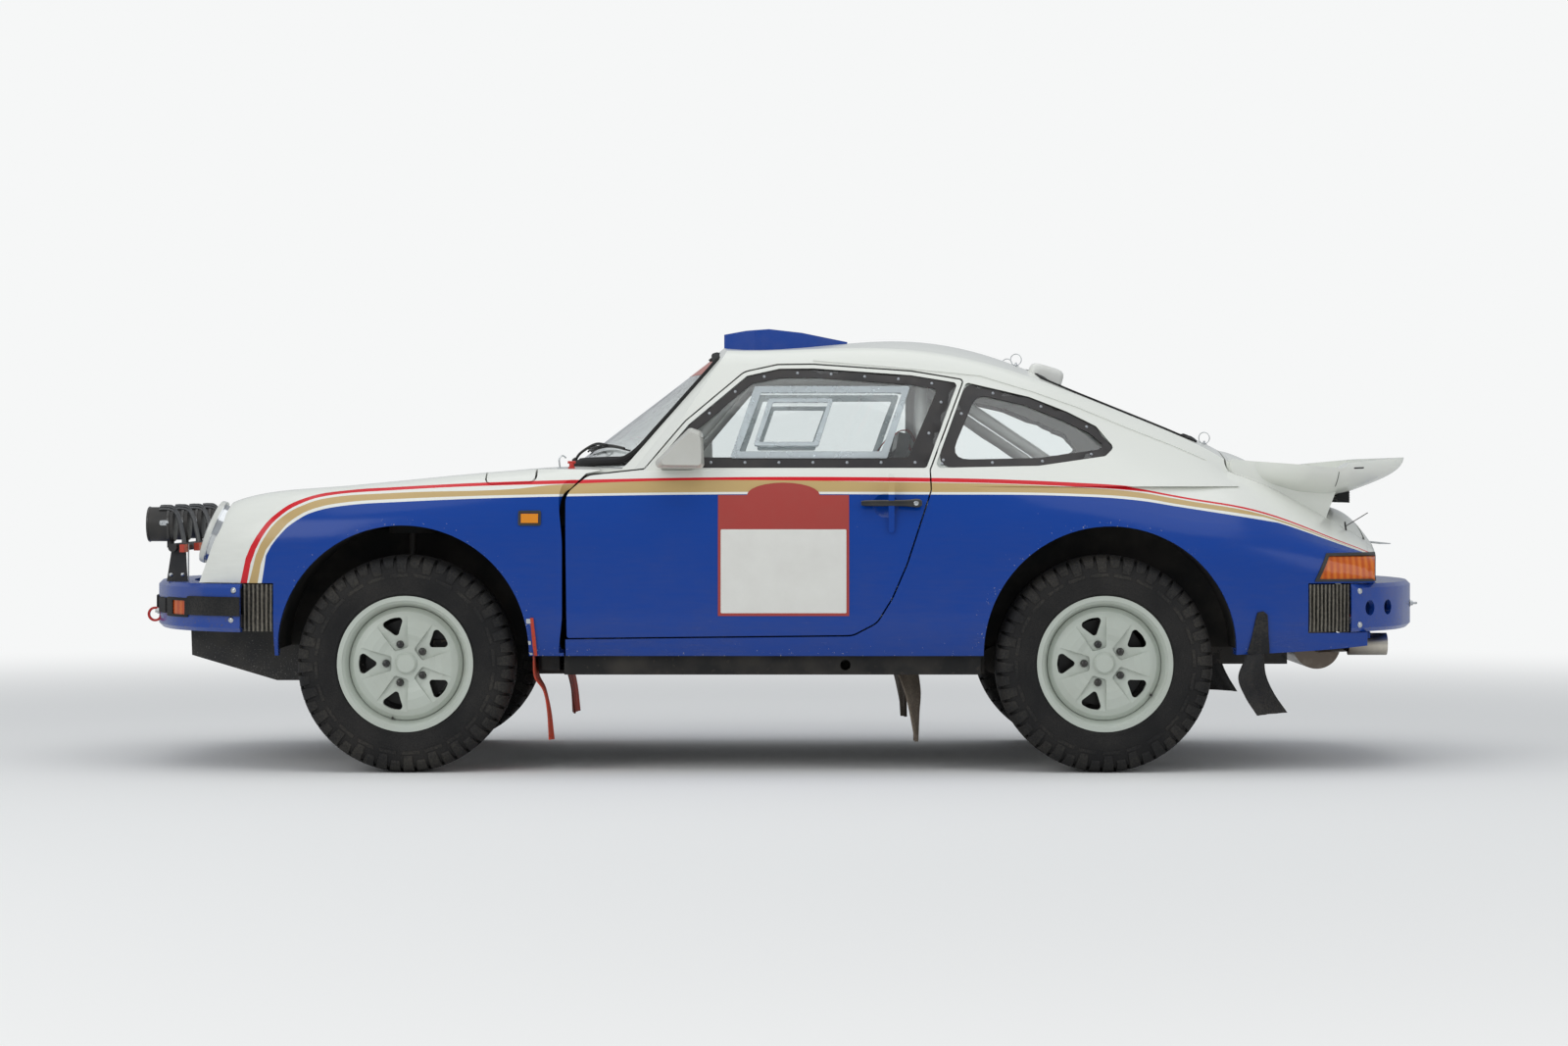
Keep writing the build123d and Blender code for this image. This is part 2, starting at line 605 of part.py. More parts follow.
tub_half = Part() + [box(*row) for row in TUB_BOXES]
tub_half = tub_half - box(-778, 628, past_middle - 1, 63, 300, 458)
tower = Pos(strut_top[0], strut_top[1], 826) * (Cylinder(80, 100) - Pos(0, 0, -12) * Cylinder(66, 100))
strut_space = Pos(strut_top[0], strut_top[1], 800) * Cylinder(79, 300)
front_liner = wheel_liner(front_arch, well_y - 1, half_beam) - strut_space
rear_liner = wheel_liner(rear_arch, housing_y - 1, half_beam)
torsion_tube = rod((697, -575, 358), (697, 575, 358), 45)
rack_bore = rod((rack_x, -200, rack_z), (rack_x, 200, rack_z), rack_radius + seat_gap)
tub_half = tub_half + [tower, front_liner, rear_liner]
jack_socket = rod((200, 680, 349), (200, 760, 349), 17)
buffers = [rod((155, 688, 500), (155, 721, 500), 8)]
for x, y, z in [(-1500, 394, 780), (1850, 320, 550)]:
    buffers.append(rod((x, y, z), (x, y, 1000), 8) & lower_fit)
filler_neck = rod((-890, 688, 640), (-890, 688, 1000), 30) & lower_body(flap_thickness + 2 * seat_gap)
skin_zone = (lower_outer - lower_fit) & box(-2100, 2100, 690 - seat_gap, half_beam, 300, 1100)
body_tub = both_sides(tub_half + buffers - jack_socket - skin_zone)
body_tub = body_tub + torsion_tube - rack_bore + other_side(filler_neck)

# Roll cage of round tube
cage_radius = 19.0
hoop_x = 455.0
HOOP = [(hoop_x, 612, floor_z + seat_gap), (hoop_x, 612, 880), (hoop_x, 495, 1298), (hoop_x, 0, 1298)]
FRONT_LEG = [
    (hoop_x, 495, 1298),
    (-120, 492, 1282),
    (-372, 596, 990),
    (-540, 612, 700),
    (-540, 612, floor_z + seat_gap),
]
STAY = [(hoop_x, 470, 1298), (1040, 460, 905 + seat_gap)]
DOOR_BARS = [[(hoop_x, 612, 560), (-540, 612, 470)], [(hoop_x, 612, 430), (-540, 612, 620)]]
cage_half = tube_run(HOOP, cage_radius) + tube_run(FRONT_LEG, cage_radius) + tube_run(STAY, cage_radius)
for bar in DOOR_BARS:
    cage_half = cage_half + tube_run(bar, 15)
cage_half = cage_half - box(0, 1200, 0, 700, 0, floor_z + seat_gap) - box(900, 1200, 0, 700, 0, 905 + seat_gap)
cage_diagonal = tube_run([(hoop_x, 600, 400), (hoop_x, -480, 1290)], 17)
roll_cage = both_sides(cage_half) + cage_diagonal

# Bucket seats: a shell with side wings on rails, and the padding that lies in it
seat_y = 350.0
seat_half_width = 230.0
wing_wall = 8.0
bolster_y = 185.0
SHELL = [(-190, 500), (-190, 462), (255, 415), (310, 440), (418, 1100), (380, 1110), (262, 480), (230, 458)]
CUSHION = [(-182, 545), (-182, 500), (228, 459), (258, 510)]
BACK_PAD = [(255, 530), (300, 530), (388, 1040), (335, 1052)]
BOLSTER = [
    (-185, 480), (-185, 560), (60, 600), (200, 640), (255, 800), (300, 900), (352, 1000),
    (382, 1090), (410, 1080), (305, 440), (255, 420),
]
seat_shell = side_prism(SHELL, seat_y - seat_half_width, seat_y + seat_half_width)
shell_face = make_face(Polyline(*[(x, 0, z) for x, z in SHELL], close=True))
shell_space = outline_prism(shell_face, seat_gap, 0, 2 * seat_y)
seat_pads = side_prism(CUSHION, seat_y - 180, seat_y + 180, 8) + side_prism(BACK_PAD, seat_y - 170, seat_y + 170, 8)
seat_rails = box(-150, 260, seat_y + 150, seat_y + 190, floor_z + seat_gap, 470)
seat_rails = seat_rails + box(-150, 260, seat_y - 190, seat_y - 150, floor_z + seat_gap, 470)
seat = seat_shell + (seat_rails - side_prism([(-200, 464), (255, 418), (300, 800), (-200, 800)], 0, 700))
for side in (1, -1):
    wing_out, wing_in = seat_y + side * seat_half_width, seat_y + side * (seat_half_width - wing_wall)
    seat = seat + side_prism(BOLSTER, min(wing_out, wing_in), max(wing_out, wing_in), 14)
    pad_out, pad_in = wing_in - side * seat_gap, seat_y + side * bolster_y
    seat_pads = seat_pads + side_prism(BOLSTER, min(pad_out, pad_in), max(pad_out, pad_in), 14)
seat_pads = seat_pads - shell_space
seats = seat + other_side(seat)
seat_padding = seat_pads + other_side(seat_pads)

# Dashboard with its dial bank, the steering column and the gear lever
DASH = [(-788.7, 895), (-640, 930), (-482, 922), (-468, 900), (-468, 862), (-500, 800), (-788.7, 800)]
wheel_hub = (-232.0, -350.0, 880.0)
column_angle = 20.0
column_dir = (-math.cos(math.radians(column_angle)), 0.0, -math.sin(math.radians(column_angle)))


def along_column(distance):
    return tuple(a + distance * b for a, b in zip(wheel_hub, column_dir))


dashboard = side_prism(DASH, -565, 565, 12) + rod(along_column(60), along_column(470), 26)
for offset_y, dial_radius in [(-167, 38), (-83, 40), (0, 52), (88, 40), (167, 38)]:
    dial_y = wheel_hub[1] + offset_y
    dashboard = dashboard + rod((-480, dial_y, 880), (-462, dial_y, 880), dial_radius)
gear_lever = rod((-62, 0, 478), (-90, 0, 640), 9) + Pos(-90, 0, 648) * Sphere(24)
gear_boot = Pos(-60, 0, 470 + seat_gap) * Cone(60, 16, 50, align=(Align.CENTER, Align.CENTER, Align.MIN))
gear_shift = gear_lever + gear_boot

# Steering wheel
rim_radius = 185.0
wheel_plane = Plane(origin=wheel_hub, z_dir=(-column_dir[0], 0, -column_dir[2]))
steering_rim = wheel_plane * Torus(rim_radius, 15)
steering_hub = rod(along_column(20), along_column(60 - seat_gap), 32)
steering_spokes = None
for angle in (0, 120, 240):
    spoke = wheel_plane * (Rot(0, 0, angle) * (Pos(rim_radius / 2 + 4, 0, -12) * Box(rim_radius - 6, 26, 6)))
    steering_spokes = spoke if steering_spokes is None else steering_spokes + spoke
steering_dish = rod(along_column(6), along_column(24), 44)
steering_wheel = steering_rim + steering_spokes + steering_hub + steering_dish


# Road wheels: the five-spoke forged wheel is turned as a section, then its windows are cut
rim_flange = 221.0
bead_radius = 204.7
wheel_half_width = 95.0
hub_face = 23.0
lug_circle = 65.0
RIM_SECTION = [
    (rim_flange, 95), (rim_flange, 89), (210, 86), (bead_radius, 82), (bead_radius, 60), (186, 40),
    (186, -50), (bead_radius, -66), (bead_radius, -82), (210, -86), (rim_flange, -89), (rim_flange, -95),
    (206, -95), (197, -84), (197, -66), (178, -48), (178, 30), (190, 56), (197, 84), (206, 95),
]
DISC_SECTION = [
    (31, hub_face), (80, hub_face), (95, 44), (120, 50), (150, 46), (184, 30),
    (184, 52), (170, 64), (150, 71), (118, 74), (96, 70), (78, 62), (60, 58), (31, 58),
]
CAP_SECTION = [(0, hub_face + 4), (30.7, hub_face + 4), (30.7, 58), (35, 58), (35, 62), (28, 70), (0, 72)]
window_count = 5
window_start = 180.0
POCKET_OUTLINE = [(48, 23), (137, 50), (176, 60), (176, -60), (137, -50), (48, -23)]
POCKET_PROFILE = [(44, 49), (80, 55), (118, 66.5), (172, 72), (172, 98), (44, 98)]


def wheel_window():
    outline = FilletPolyline(
        (89, 0, 0), (147, 41, 0), (155, 0, 0), (147, -41, 0), radius=[10, 12, 60, 12], close=True)
    return extrude(make_face(outline), amount=200, dir=(0, 0, 1))


def turned(points):
    return revolve(make_face(Polyline(*[(r, 0, y) for r, y in points], close=True)), Axis.Z)


pocket = side_prism(POCKET_PROFILE, -62, 62) & plan_prism(POCKET_OUTLINE, 40, 100, 9)
wheel_cuts = []
for k in range(window_count):
    turn = Rot(0, 0, window_start + 360 / window_count * k)
    wheel_cuts += [turn * wheel_window(), turn * pocket, turn * Pos(lug_circle, 0, 61) * Cylinder(13, 30)]
wheel_metal = turned(RIM_SECTION) + turned(DISC_SECTION) - wheel_cuts + turned(CAP_SECTION)
brake_radius = 141.0
HUB_SECTION = [
    (20.5, hub_face - seat_gap), (78, hub_face - seat_gap), (78, -30), (brake_radius, -30),
    (brake_radius, -44), (70, -44), (70, 6), (45, 6), (45, -40), (20.5, -40),
]
wheel_hub_disc = turned(HUB_SECTION)

# The tyre's section: rows give the share of the sidewall from the rim flange out, and the half width
TYRE_OUTSIDE = [
    (0.008, 96.5), (0.218, 103), (0.406, tyre_width / 2), (0.632, 102), (0.835, 93), (0.932, 84), (1, 72),
]
TYRE_INSIDE = [(0.82, 74), (0.632, 90), (0.406, 92), (0.218, 91), (-0.023, 80)]
tyre_crown = 0.865
bead_line = [(205, 88.8), (205, 72)]


def on_sidewall(rows, side):
    return [(rim_flange + share * (tyre_radius - rim_flange), side * y) for share, y in rows]


outside = on_sidewall(TYRE_OUTSIDE, 1) + on_sidewall(reversed(TYRE_OUTSIDE), -1)
inside = on_sidewall(reversed(TYRE_INSIDE), -1) + on_sidewall([(tyre_crown, 0)], 1) + on_sidewall(TYRE_INSIDE, 1)
tyre = turned([bead_line[0]] + outside + [(r, -y) for r, y in bead_line] + inside + [bead_line[1]])
tyre = tyre - turned([(200, 100), (221.4, 100), (221.4, 88.6), (210, 85.6), (204.9, 81.7), (200, 78)])
tyre = tyre - turned([(200, -100), (221.4, -100), (221.4, -88.6), (210, -85.6), (204.9, -81.7), (200, -78)])


def on_axle(shape, x, y):
    return Pos(x, y, tyre_radius) * Rot(-90, 0, 0) * shape


WHEELS = [("front", front_axle_x, front_wheel_y), ("rear", rear_axle_x, rear_wheel_y)]
road_wheels = {}
for axle, x, y in WHEELS:
    rim = on_axle(wheel_metal, x, y) + on_axle(wheel_hub_disc, x, y)
    rubber = on_axle(tyre, x, y)
    road_wheels[f"{axle}_wheel_right"] = rim
    road_wheels[f"{axle}_tyre_right"] = rubber
    road_wheels[f"{axle}_wheel_left"] = other_side(rim)
    road_wheels[f"{axle}_tyre_left"] = other_side(rubber)

# Front knuckle: strut turned on the steering axis, stub axle, caliper and steering arm
axle_z = tyre_radius
disc_y = front_wheel_y - 37.0
arm_x = rack_x
arm_z = axle_z - 14.0
steer_foot = (front_axle_x, 612.0, axle_z - 104.0)
steer_head = (front_axle_x, 505.0, 880.0)


def on_steering_axis(z):
    share = (z - steer_foot[2]) / (steer_head[2] - steer_foot[2])
    return (front_axle_x, steer_foot[1] + share * (steer_head[1] - steer_foot[1]), z)


ball_top = steer_foot[2] + 12.0
knuckle = rod(on_steering_axis(322), on_steering_axis(700), 24)
knuckle = knuckle + rod(on_steering_axis(680), on_steering_axis(857), 12)
knuckle = knuckle + rod(on_steering_axis(ball_top + 3.3), on_steering_axis(330), 18)
knuckle = knuckle + rod((front_axle_x, 585, axle_z), (front_axle_x, 640, axle_z), 38)
knuckle = knuckle + rod((front_axle_x, 630, axle_z), (front_axle_x, front_wheel_y + 20, axle_z), 20)
knuckle = knuckle + rod((front_axle_x + 10, 600, arm_z), (arm_x, 602, arm_z), 11)
knuckle = knuckle + rod((arm_x, 602, arm_z - 12), (arm_x, 602, arm_z + 12), 17)
caliper = box(front_axle_x + 82, front_axle_x + 150, 615, 682, axle_z - 26, axle_z + 74)
caliper = caliper - box(front_axle_x + 60, front_axle_x + 143, disc_y - 13, disc_y + 13, 200, 500)
caliper_link = box(front_axle_x + 20, front_axle_x + 100, 615, 630, axle_z - 22, axle_z + 22)
front_knuckle_right = knuckle + caliper + caliper_link
front_knuckle_left = other_side(front_knuckle_right)

# Front lower arms and the rack with its tie rods
pivot = (345.0, 302.0)
ball_z = steer_foot[2] - 10.0
arm_half = rod((steer_foot[0], steer_foot[1], ball_z), (steer_foot[0] - 62, *pivot), 15)
arm_half = arm_half + rod((steer_foot[0], steer_foot[1], ball_z), (steer_foot[0] + 62, *pivot), 15)
arm_half = arm_half + rod((steer_foot[0] - 85, *pivot), (steer_foot[0] + 50, *pivot), 20)
arm_half = arm_half + rod((steer_foot[0], steer_foot[1], ball_z - 14), (steer_foot[0], steer_foot[1], ball_top), 20)
arm_half = arm_half + box(-1288, -1180, 300, 345, 300, 330 - seat_gap)
front_arms = both_sides(arm_half)
rack_half = rod((arm_x, 0, rack_z), (arm_x, 602, rack_z), rack_radius)
rack_half = rack_half + rod((arm_x, 602, rack_z - 11), (arm_x, 602, rack_z + rack_radius), 15)
rack_half = rack_half + rod((arm_x, 240, rack_z), (arm_x, 330, rack_z), 20)
tie_rods = both_sides(rack_half)

# Rear arms with hub carriers, half shafts and dampers
rear_half = rod((697, 545, 352), (rear_axle_x, 545, axle_z), 24)
rear_half = rear_half + rod((738, 320, 352), (rear_axle_x, 540, axle_z), 22)
rear_half = rear_half + rod((rear_axle_x, 520, axle_z), (rear_axle_x, 644, axle_z), 45)
rear_half = rear_half + rod((rear_axle_x, 640, axle_z), (rear_axle_x, rear_wheel_y + 20, axle_z), 20)
rear_half = rear_half + rod((rear_axle_x, 121, 400), (rear_axle_x, 590, axle_z), 17)
rear_half = rear_half + rod((rear_axle_x, 121, 400), (rear_axle_x, 190, 393), 44)
rear_half = rear_half + rod((rear_axle_x, 450, 363), (rear_axle_x, 530, 356), 36)
rear_half = rear_half + rod((1110, 500, 345), (1080, 500, 891), 24) + rod((1110, 500, 350), (1050, 540, 352), 17)
rear_half = rear_half - rod((697, 0, 358), (697, 610, 358), 45.3)
rear_arms = both_sides(rear_half)

# Engine and gearbox as plain blocks with fan housing and mount bar
engine = box(1300, 1700, -285, 285, 330, 620) + box(760, 1301, -115, 115, 310, 510)
engine = engine + box(1420, 1700, -200, 200, 619, 800) + rod((1640, 0, 690), (1735, 0, 690), 128)
engine = engine + box(1650, 1690, -(300 - seat_gap), 300 - seat_gap, 505, 545)
exhaust_y = -450.0
exhaust = rod((1795, -320, 395), (1795, 320, 395), 80) + rod((1795, -300, 395), (1880, exhaust_y, 405), 26)
exhaust = exhaust + rod((1880, exhaust_y, 405), (2008, exhaust_y, 405), 37)
exhaust = exhaust + box(1700 + seat_gap, 1760, -60, 60, 380, 440)
exhaust = exhaust - rod((1900, exhaust_y, 405), (2020, exhaust_y, 405), 32)
exhaust_notch = rod((1890, exhaust_y, 405), (1940, exhaust_y, 405), 46)
rear_panel = rear_panel - exhaust_notch

# Front guard under the nose
GUARD = [
    (-1990, 500 - seat_gap), (-1985, 365), (-1700, 280), (-1400, 280), (-1400, 290), (-1698, 290),
    (-1973, 373), (-1978, 500 - seat_gap),
]
GUARD_CHEEK = [
    (-1984, 500 - seat_gap), (-1980, 369), (-1699, 284), (-1402, 284), (-1402, 400 - seat_gap),
    (-1664, 400 - seat_gap), (-1664, 500 - seat_gap),
]
guard_cheek = side_prism(GUARD_CHEEK, 374, 380) + box(-1420, -1400, 300, 388, 284, 400 - seat_gap)
sump_guard = side_prism(GUARD, -380, 380) + guard_cheek + other_side(guard_cheek)

# Headlamps, indicators and the bar of extra lamps
headlamp = lamp_axis(Cylinder(lamp_radius - seat_gap, 40))
headlamp_ring = lamp_axis(Pos(0, 0, 26.6) * (Cylinder(106, 14) - Cylinder(88, 20)))
headlamp = headlamp + headlamp_ring
headlamps = both_sides(headlamp)
lens = lamp_axis(Pos(0, 0, 28) * Cylinder(87.5, 12))
headlamps = headlamps + both_sides(lens)
repeater = box(-853, -797, 700, 812, 812, 842) & lower_body(-7)
repeater = repeater - lower_body(-0.6)
indicator_lamps = both_sides(indicator_lamp + repeater)
LAMP_ROW = [150.0, 450.0]
lamp_bar = rod((-2035, 0, 726), (-2035, 480, 726), 14)
lamp_bar = lamp_bar + side_prism([(-2059, 613.3), (-1990, 613.3), (-1996, 738), (-2040, 738)], 440, 447)
for y in LAMP_ROW:
    lamp_bar = lamp_bar + rod((-2116, y, 804), (-2030, y, 804), 57) + rod((-2045, y, 726), (-2045, y, 760), 12)
    lamp_bar = lamp_bar - rod((-2117, y, 804), (-2106, y, 804), 51)
lamp_bar = both_sides(lamp_bar)

# Roof scoop, open at its front edge
scoop_side = [(-203, 1370), (-203, 1444), (-130, 1457), (-51, 1463), (60, 1451), (215, 1420), (215, 1370)]
scoop_plan = [(-210, 0), (-210, 225), (-100, 240), (220, 205), (220, 0)]
scoop = side_prism(scoop_side, 0, 240) & plan_prism(scoop_plan, 1300, 1500)
scoop = scoop - roof_fit - box(-210, -30, 0, 195, 1300, 1436)
roof_scoop = both_sides(scoop)

# Mud flaps: bent rubber sheets, each row giving the outer and inner edge at one height
FLAP_COLUMNS = "z x_outer y_outer x_inner y_inner"
FRONT_FLAP = [
    (380 - seat_gap, -816, 770, -816, 575), (312, -811, 770, -812, 575), (266, -780, 770, -790, 580),
    (200, -765, 768, -775, 585), (107, -757, 765, -765, 590),
]
MIDDLE_FLAP = [
    (318 - seat_gap, 372, 690, 440, 560),
    (250, 396, 690, 446, 570),
    (180, 412, 688, 440, 590),
    (95, 428, 680, 436, 600),
]
REAR_FLAP = [
    (384, 1500, 790, 1572, 640),
    (313, 1471, 790, 1578, 625),
    (250, 1490, 786, 1604, 615),
    (186, 1528, 776, 1645, 610),
]
flap_sheet_wall = 5.0


def flap_sheet(rows):
    wires = []
    for z, x_outer, y_outer, x_inner, y_inner in rows:
        front = [(x_outer, y_outer), (x_inner, y_inner)]
        corners = front + [(x + flap_sheet_wall, y) for x, y in reversed(front)]
        wires.append(Wire(Polyline(*[(x, y, z) for x, y in corners], close=True).edges()))
    return Solid.make_loft(wires, ruled=True)


STRAP_OUTLINE = [(1500, 374), (1531, 523), (1566, 523), (1576, 374)]
flap_strap = (side_prism(STRAP_OUTLINE, 600, 900) & lower_body(-7)) - lower_body(-seat_gap)
mud_flaps = both_sides(flap_sheet(FRONT_FLAP) + flap_sheet(MIDDLE_FLAP) + flap_sheet(REAR_FLAP) + flap_strap)

PIECES = {
    "body_tub": body_tub,
    "scuttle": scuttle,
    "roof": roof,
    "front_wing_left": front_wing_left,
    "front_wing_right": front_wing_right,
    "rear_quarter_left": rear_quarter_left,
    "rear_quarter_right": rear_quarter_right,
    "rear_panel": rear_panel,
    "front_lid": front_lid,
    "engine_lid": engine_lid,
    "fuel_flap": fuel_flap,
    "door_left": door_left,
    "door_right": door_right,
    "door_window_left": door_window_left,
    "door_window_right": door_window_right,
    "door_mirror_left": door_mirror_left,
    "door_mirror_right": door_mirror_right,
    "fixed_windows": fixed_windows,
    "front_bumper": front_bumper,
    "rear_bumper": rear_bumper,
    "bumper_bellows": bumper_bellows,
    "rear_lamps": rear_lamps,
    "headlamps": headlamps,
    "indicator_lamps": indicator_lamps,
    "lamp_bar": lamp_bar,
    "roof_scoop": roof_scoop,
    "sump_guard": sump_guard,
    "seats": seats,
    "seat_pads": seat_padding,
    "roll_cage": roll_cage,
    "dashboard": dashboard,
    "gear_shift": gear_shift,
    "steering_wheel": steering_wheel,
    "front_knuckle_left": front_knuckle_left,
    "front_knuckle_right": front_knuckle_right,
    "front_arms": front_arms,
    "tie_rods": tie_rods,
    "rear_arms": rear_arms,
    "engine": engine,
    "exhaust": exhaust,
    "mud_flaps": mud_flaps,
    **road_wheels,
}
os.makedirs("parts", exist_ok=True)
for name, shape in PIECES.items():
    export_step(shape, f"parts/{name}.step")
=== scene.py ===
# The rally car's finish: paint, rubber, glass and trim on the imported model.
# Lengths are in metres in the model's own frame: X to the rear, +Y to the car's right, Z up.
import math

import bmesh
import bpy
from mathutils import Matrix, Vector, geometry
from mathutils.bvhtree import BVHTree


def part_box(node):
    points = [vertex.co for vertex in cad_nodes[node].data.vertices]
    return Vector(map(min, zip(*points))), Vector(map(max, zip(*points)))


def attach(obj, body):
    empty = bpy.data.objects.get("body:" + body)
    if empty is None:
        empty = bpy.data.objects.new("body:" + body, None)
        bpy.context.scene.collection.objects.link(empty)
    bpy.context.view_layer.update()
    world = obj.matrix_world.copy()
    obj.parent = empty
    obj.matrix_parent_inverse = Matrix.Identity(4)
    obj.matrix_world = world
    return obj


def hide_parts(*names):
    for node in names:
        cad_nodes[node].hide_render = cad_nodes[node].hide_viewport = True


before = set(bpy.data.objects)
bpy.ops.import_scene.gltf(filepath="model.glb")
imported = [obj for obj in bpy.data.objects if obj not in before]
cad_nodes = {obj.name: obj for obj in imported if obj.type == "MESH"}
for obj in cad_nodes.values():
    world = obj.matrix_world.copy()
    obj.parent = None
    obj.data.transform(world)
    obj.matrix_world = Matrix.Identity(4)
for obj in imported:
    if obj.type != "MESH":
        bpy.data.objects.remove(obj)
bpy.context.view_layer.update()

# Body panels: steel sheet sprayed in two-pack enamel, white above and blue below.
# A red line, a gold band and a white pinline run between them from lamp to lamp.
# Dust from gravel stages clings low on the sides and behind the wheels.
MM = 0.001
FRONT_AXLE = 1.230
REAR_AXLE = 1.042
WHEEL_HEIGHT = 0.354


def linear(colour):
    channels = [int(colour[i:i + 2], 16) / 255 for i in (1, 3, 5)]
    return tuple(c / 12.92 if c <= 0.04045 else ((c + 0.055) / 1.055) ** 2.4 for c in channels) + (1.0,)


def add_node(tree, kind, settings=None, links=None):
    node = tree.nodes.new(kind)
    for key, value in (settings or {}).items():
        if isinstance(key, str) and hasattr(node, key):
            setattr(node, key, value)
        else:
            node.inputs[key].default_value = value
    for key, source in (links or {}).items():
        tree.links.new(source, node.inputs[key])
    return node


def new_material(name, **shader_values):
    material = bpy.data.materials.new(name)
    material.use_nodes = True
    tree = material.node_tree
    shader = tree.nodes["Principled BSDF"]
    for key, value in shader_values.items():
        shader.inputs[key.replace("_", " ")].default_value = value
    return material, tree, shader


def place(tree):
    texture = add_node(tree, "ShaderNodeTexCoord")
    return texture.outputs["Object"]


def maths(tree, operation, first, second=0.0, third=0.0):
    node = add_node(tree, "ShaderNodeMath", {"operation": operation})
    for socket, value in zip(node.inputs, (first, second, third)):
        if isinstance(value, (int, float)):
            socket.default_value = value
        else:
            tree.links.new(value, socket)
    return node.outputs[0]


def blend_colours(tree, factor, low, high):
    node = add_node(tree, "ShaderNodeMixRGB")
    for socket, value in zip(node.inputs, (factor, low, high)):
        if isinstance(value, (int, float, tuple)):
            socket.default_value = value
        else:
            tree.links.new(value, socket)
    return node.outputs[0]


def wave(tree, position, width_mm, **more):
    settings = {"Scale": 1 / (width_mm * MM) / 6.283, **more}
    return add_node(tree, "ShaderNodeTexWave", settings, {"Vector": position}).outputs["Fac"]


def noise(tree, position, size_mm, detail, **more):
    settings = {"Scale": 1 / (size_mm * MM), "Detail": detail, **more}
    return add_node(tree, "ShaderNodeTexNoise", settings, {"Vector": position}).outputs["Fac"]


def remap(tree, value, from_low, from_high, to_low=0.0, to_high=1.0):
    limits = {"From Min": from_low, "From Max": from_high, "To Min": to_low, "To Max": to_high}
    return add_node(tree, "ShaderNodeMapRange", limits, {"Value": value}).outputs[0]


def split(tree, position):
    return add_node(tree, "ShaderNodeSeparateXYZ", {}, {0: position}).outputs


def tint(tree, shader, share, low, high):
    tree.links.new(blend_colours(tree, share, linear(low), linear(high)), shader.inputs["Base Color"])


def relief(tree, shader, strength, distance_mm, height):
    bump = add_node(tree, "ShaderNodeBump", {"Strength": strength, "Distance": distance_mm * MM},
                    {"Height": height})
    tree.links.new(bump.outputs[0], shader.inputs["Normal"])


def from_axle(tree, axes, height):
    """Distance in metres from the nearer axle, seen from the side."""
    to_front = maths(tree, "ABSOLUTE", maths(tree, "ADD", axes[0], FRONT_AXLE))
    to_rear = maths(tree, "ABSOLUTE", maths(tree, "SUBTRACT", axes[0], REAR_AXLE))
    along = maths(tree, "MINIMUM", to_front, to_rear)
    up = maths(tree, "SUBTRACT", axes[2], height)
    squares = [maths(tree, "MULTIPLY", leg, leg) for leg in (along, up)]
    return maths(tree, "SQRT", maths(tree, "ADD", *squares))


def cover(material, *names):
    for name in names:
        slots = cad_nodes[name].data.materials
        slots.clear()
        slots.append(material)


# Edges of the bands as (x, z) in millimetres, from the lamp over the arches to the tail
span = 2.2
rise = 1.2
RED_HIGH = [
    (-1799, 560), (-1763, 672), (-1714, 772), (-1648, 846), (-1580, 886), (-1480, 912), (-1270, 928),
    (-704, 951), (480, 958), (960, 942), (1150, 929), (1280, 910), (1600, 859), (1830, 811), (2050, 762),
]
RED_LOW = [
    (-1777, 560), (-1739, 672), (-1700, 762), (-1642, 832), (-1580, 872), (-1500, 898), (-1270, 918),
    (-704, 939), (480, 945), (960, 929), (1150, 916), (1280, 898), (1600, 847), (1830, 799), (2050, 750),
]
GOLD_HIGH = [
    (-1770, 560), (-1731, 672), (-1691, 762), (-1631, 832), (-1566, 869), (-1490, 892), (-1270, 909),
    (-880, 922), (-740, 936), (480, 943), (960, 927), (1150, 912), (1280, 890), (1600, 839), (1830, 791),
    (2050, 742),
]
GOLD_LOW = [
    (-1736, 560), (-1698, 700), (-1643, 776), (-1590, 828), (-1520, 861), (-1432, 878), (-1270, 889),
    (-704, 906), (480, 912), (960, 906), (1150, 894), (1280, 873), (1600, 825), (1830, 785), (2050, 742),
]
BLUE_TOP = [
    (-1724, 560), (-1687, 700), (-1644, 766), (-1588, 817), (-1518, 851), (-1420, 869), (-1270, 879),
    (-704, 898), (480, 904), (960, 898), (1150, 885), (1280, 865), (1600, 814), (1830, 773), (2050, 730),
]


def band_edge(tree, x, points):
    node = add_node(tree, "ShaderNodeFloatCurve", {}, {"Value": x})
    curve = node.mapping.curves[0]
    corners = [((px * MM + span) / (2 * span), pz * MM / rise) for px, pz in points]
    curve.points[0].location = (0.0, corners[0][1])
    curve.points[1].location = (1.0, corners[-1][1])
    for corner in corners:
        curve.points.new(*corner)
    node.mapping.update()
    return maths(tree, "MULTIPLY", node.outputs[0], rise)


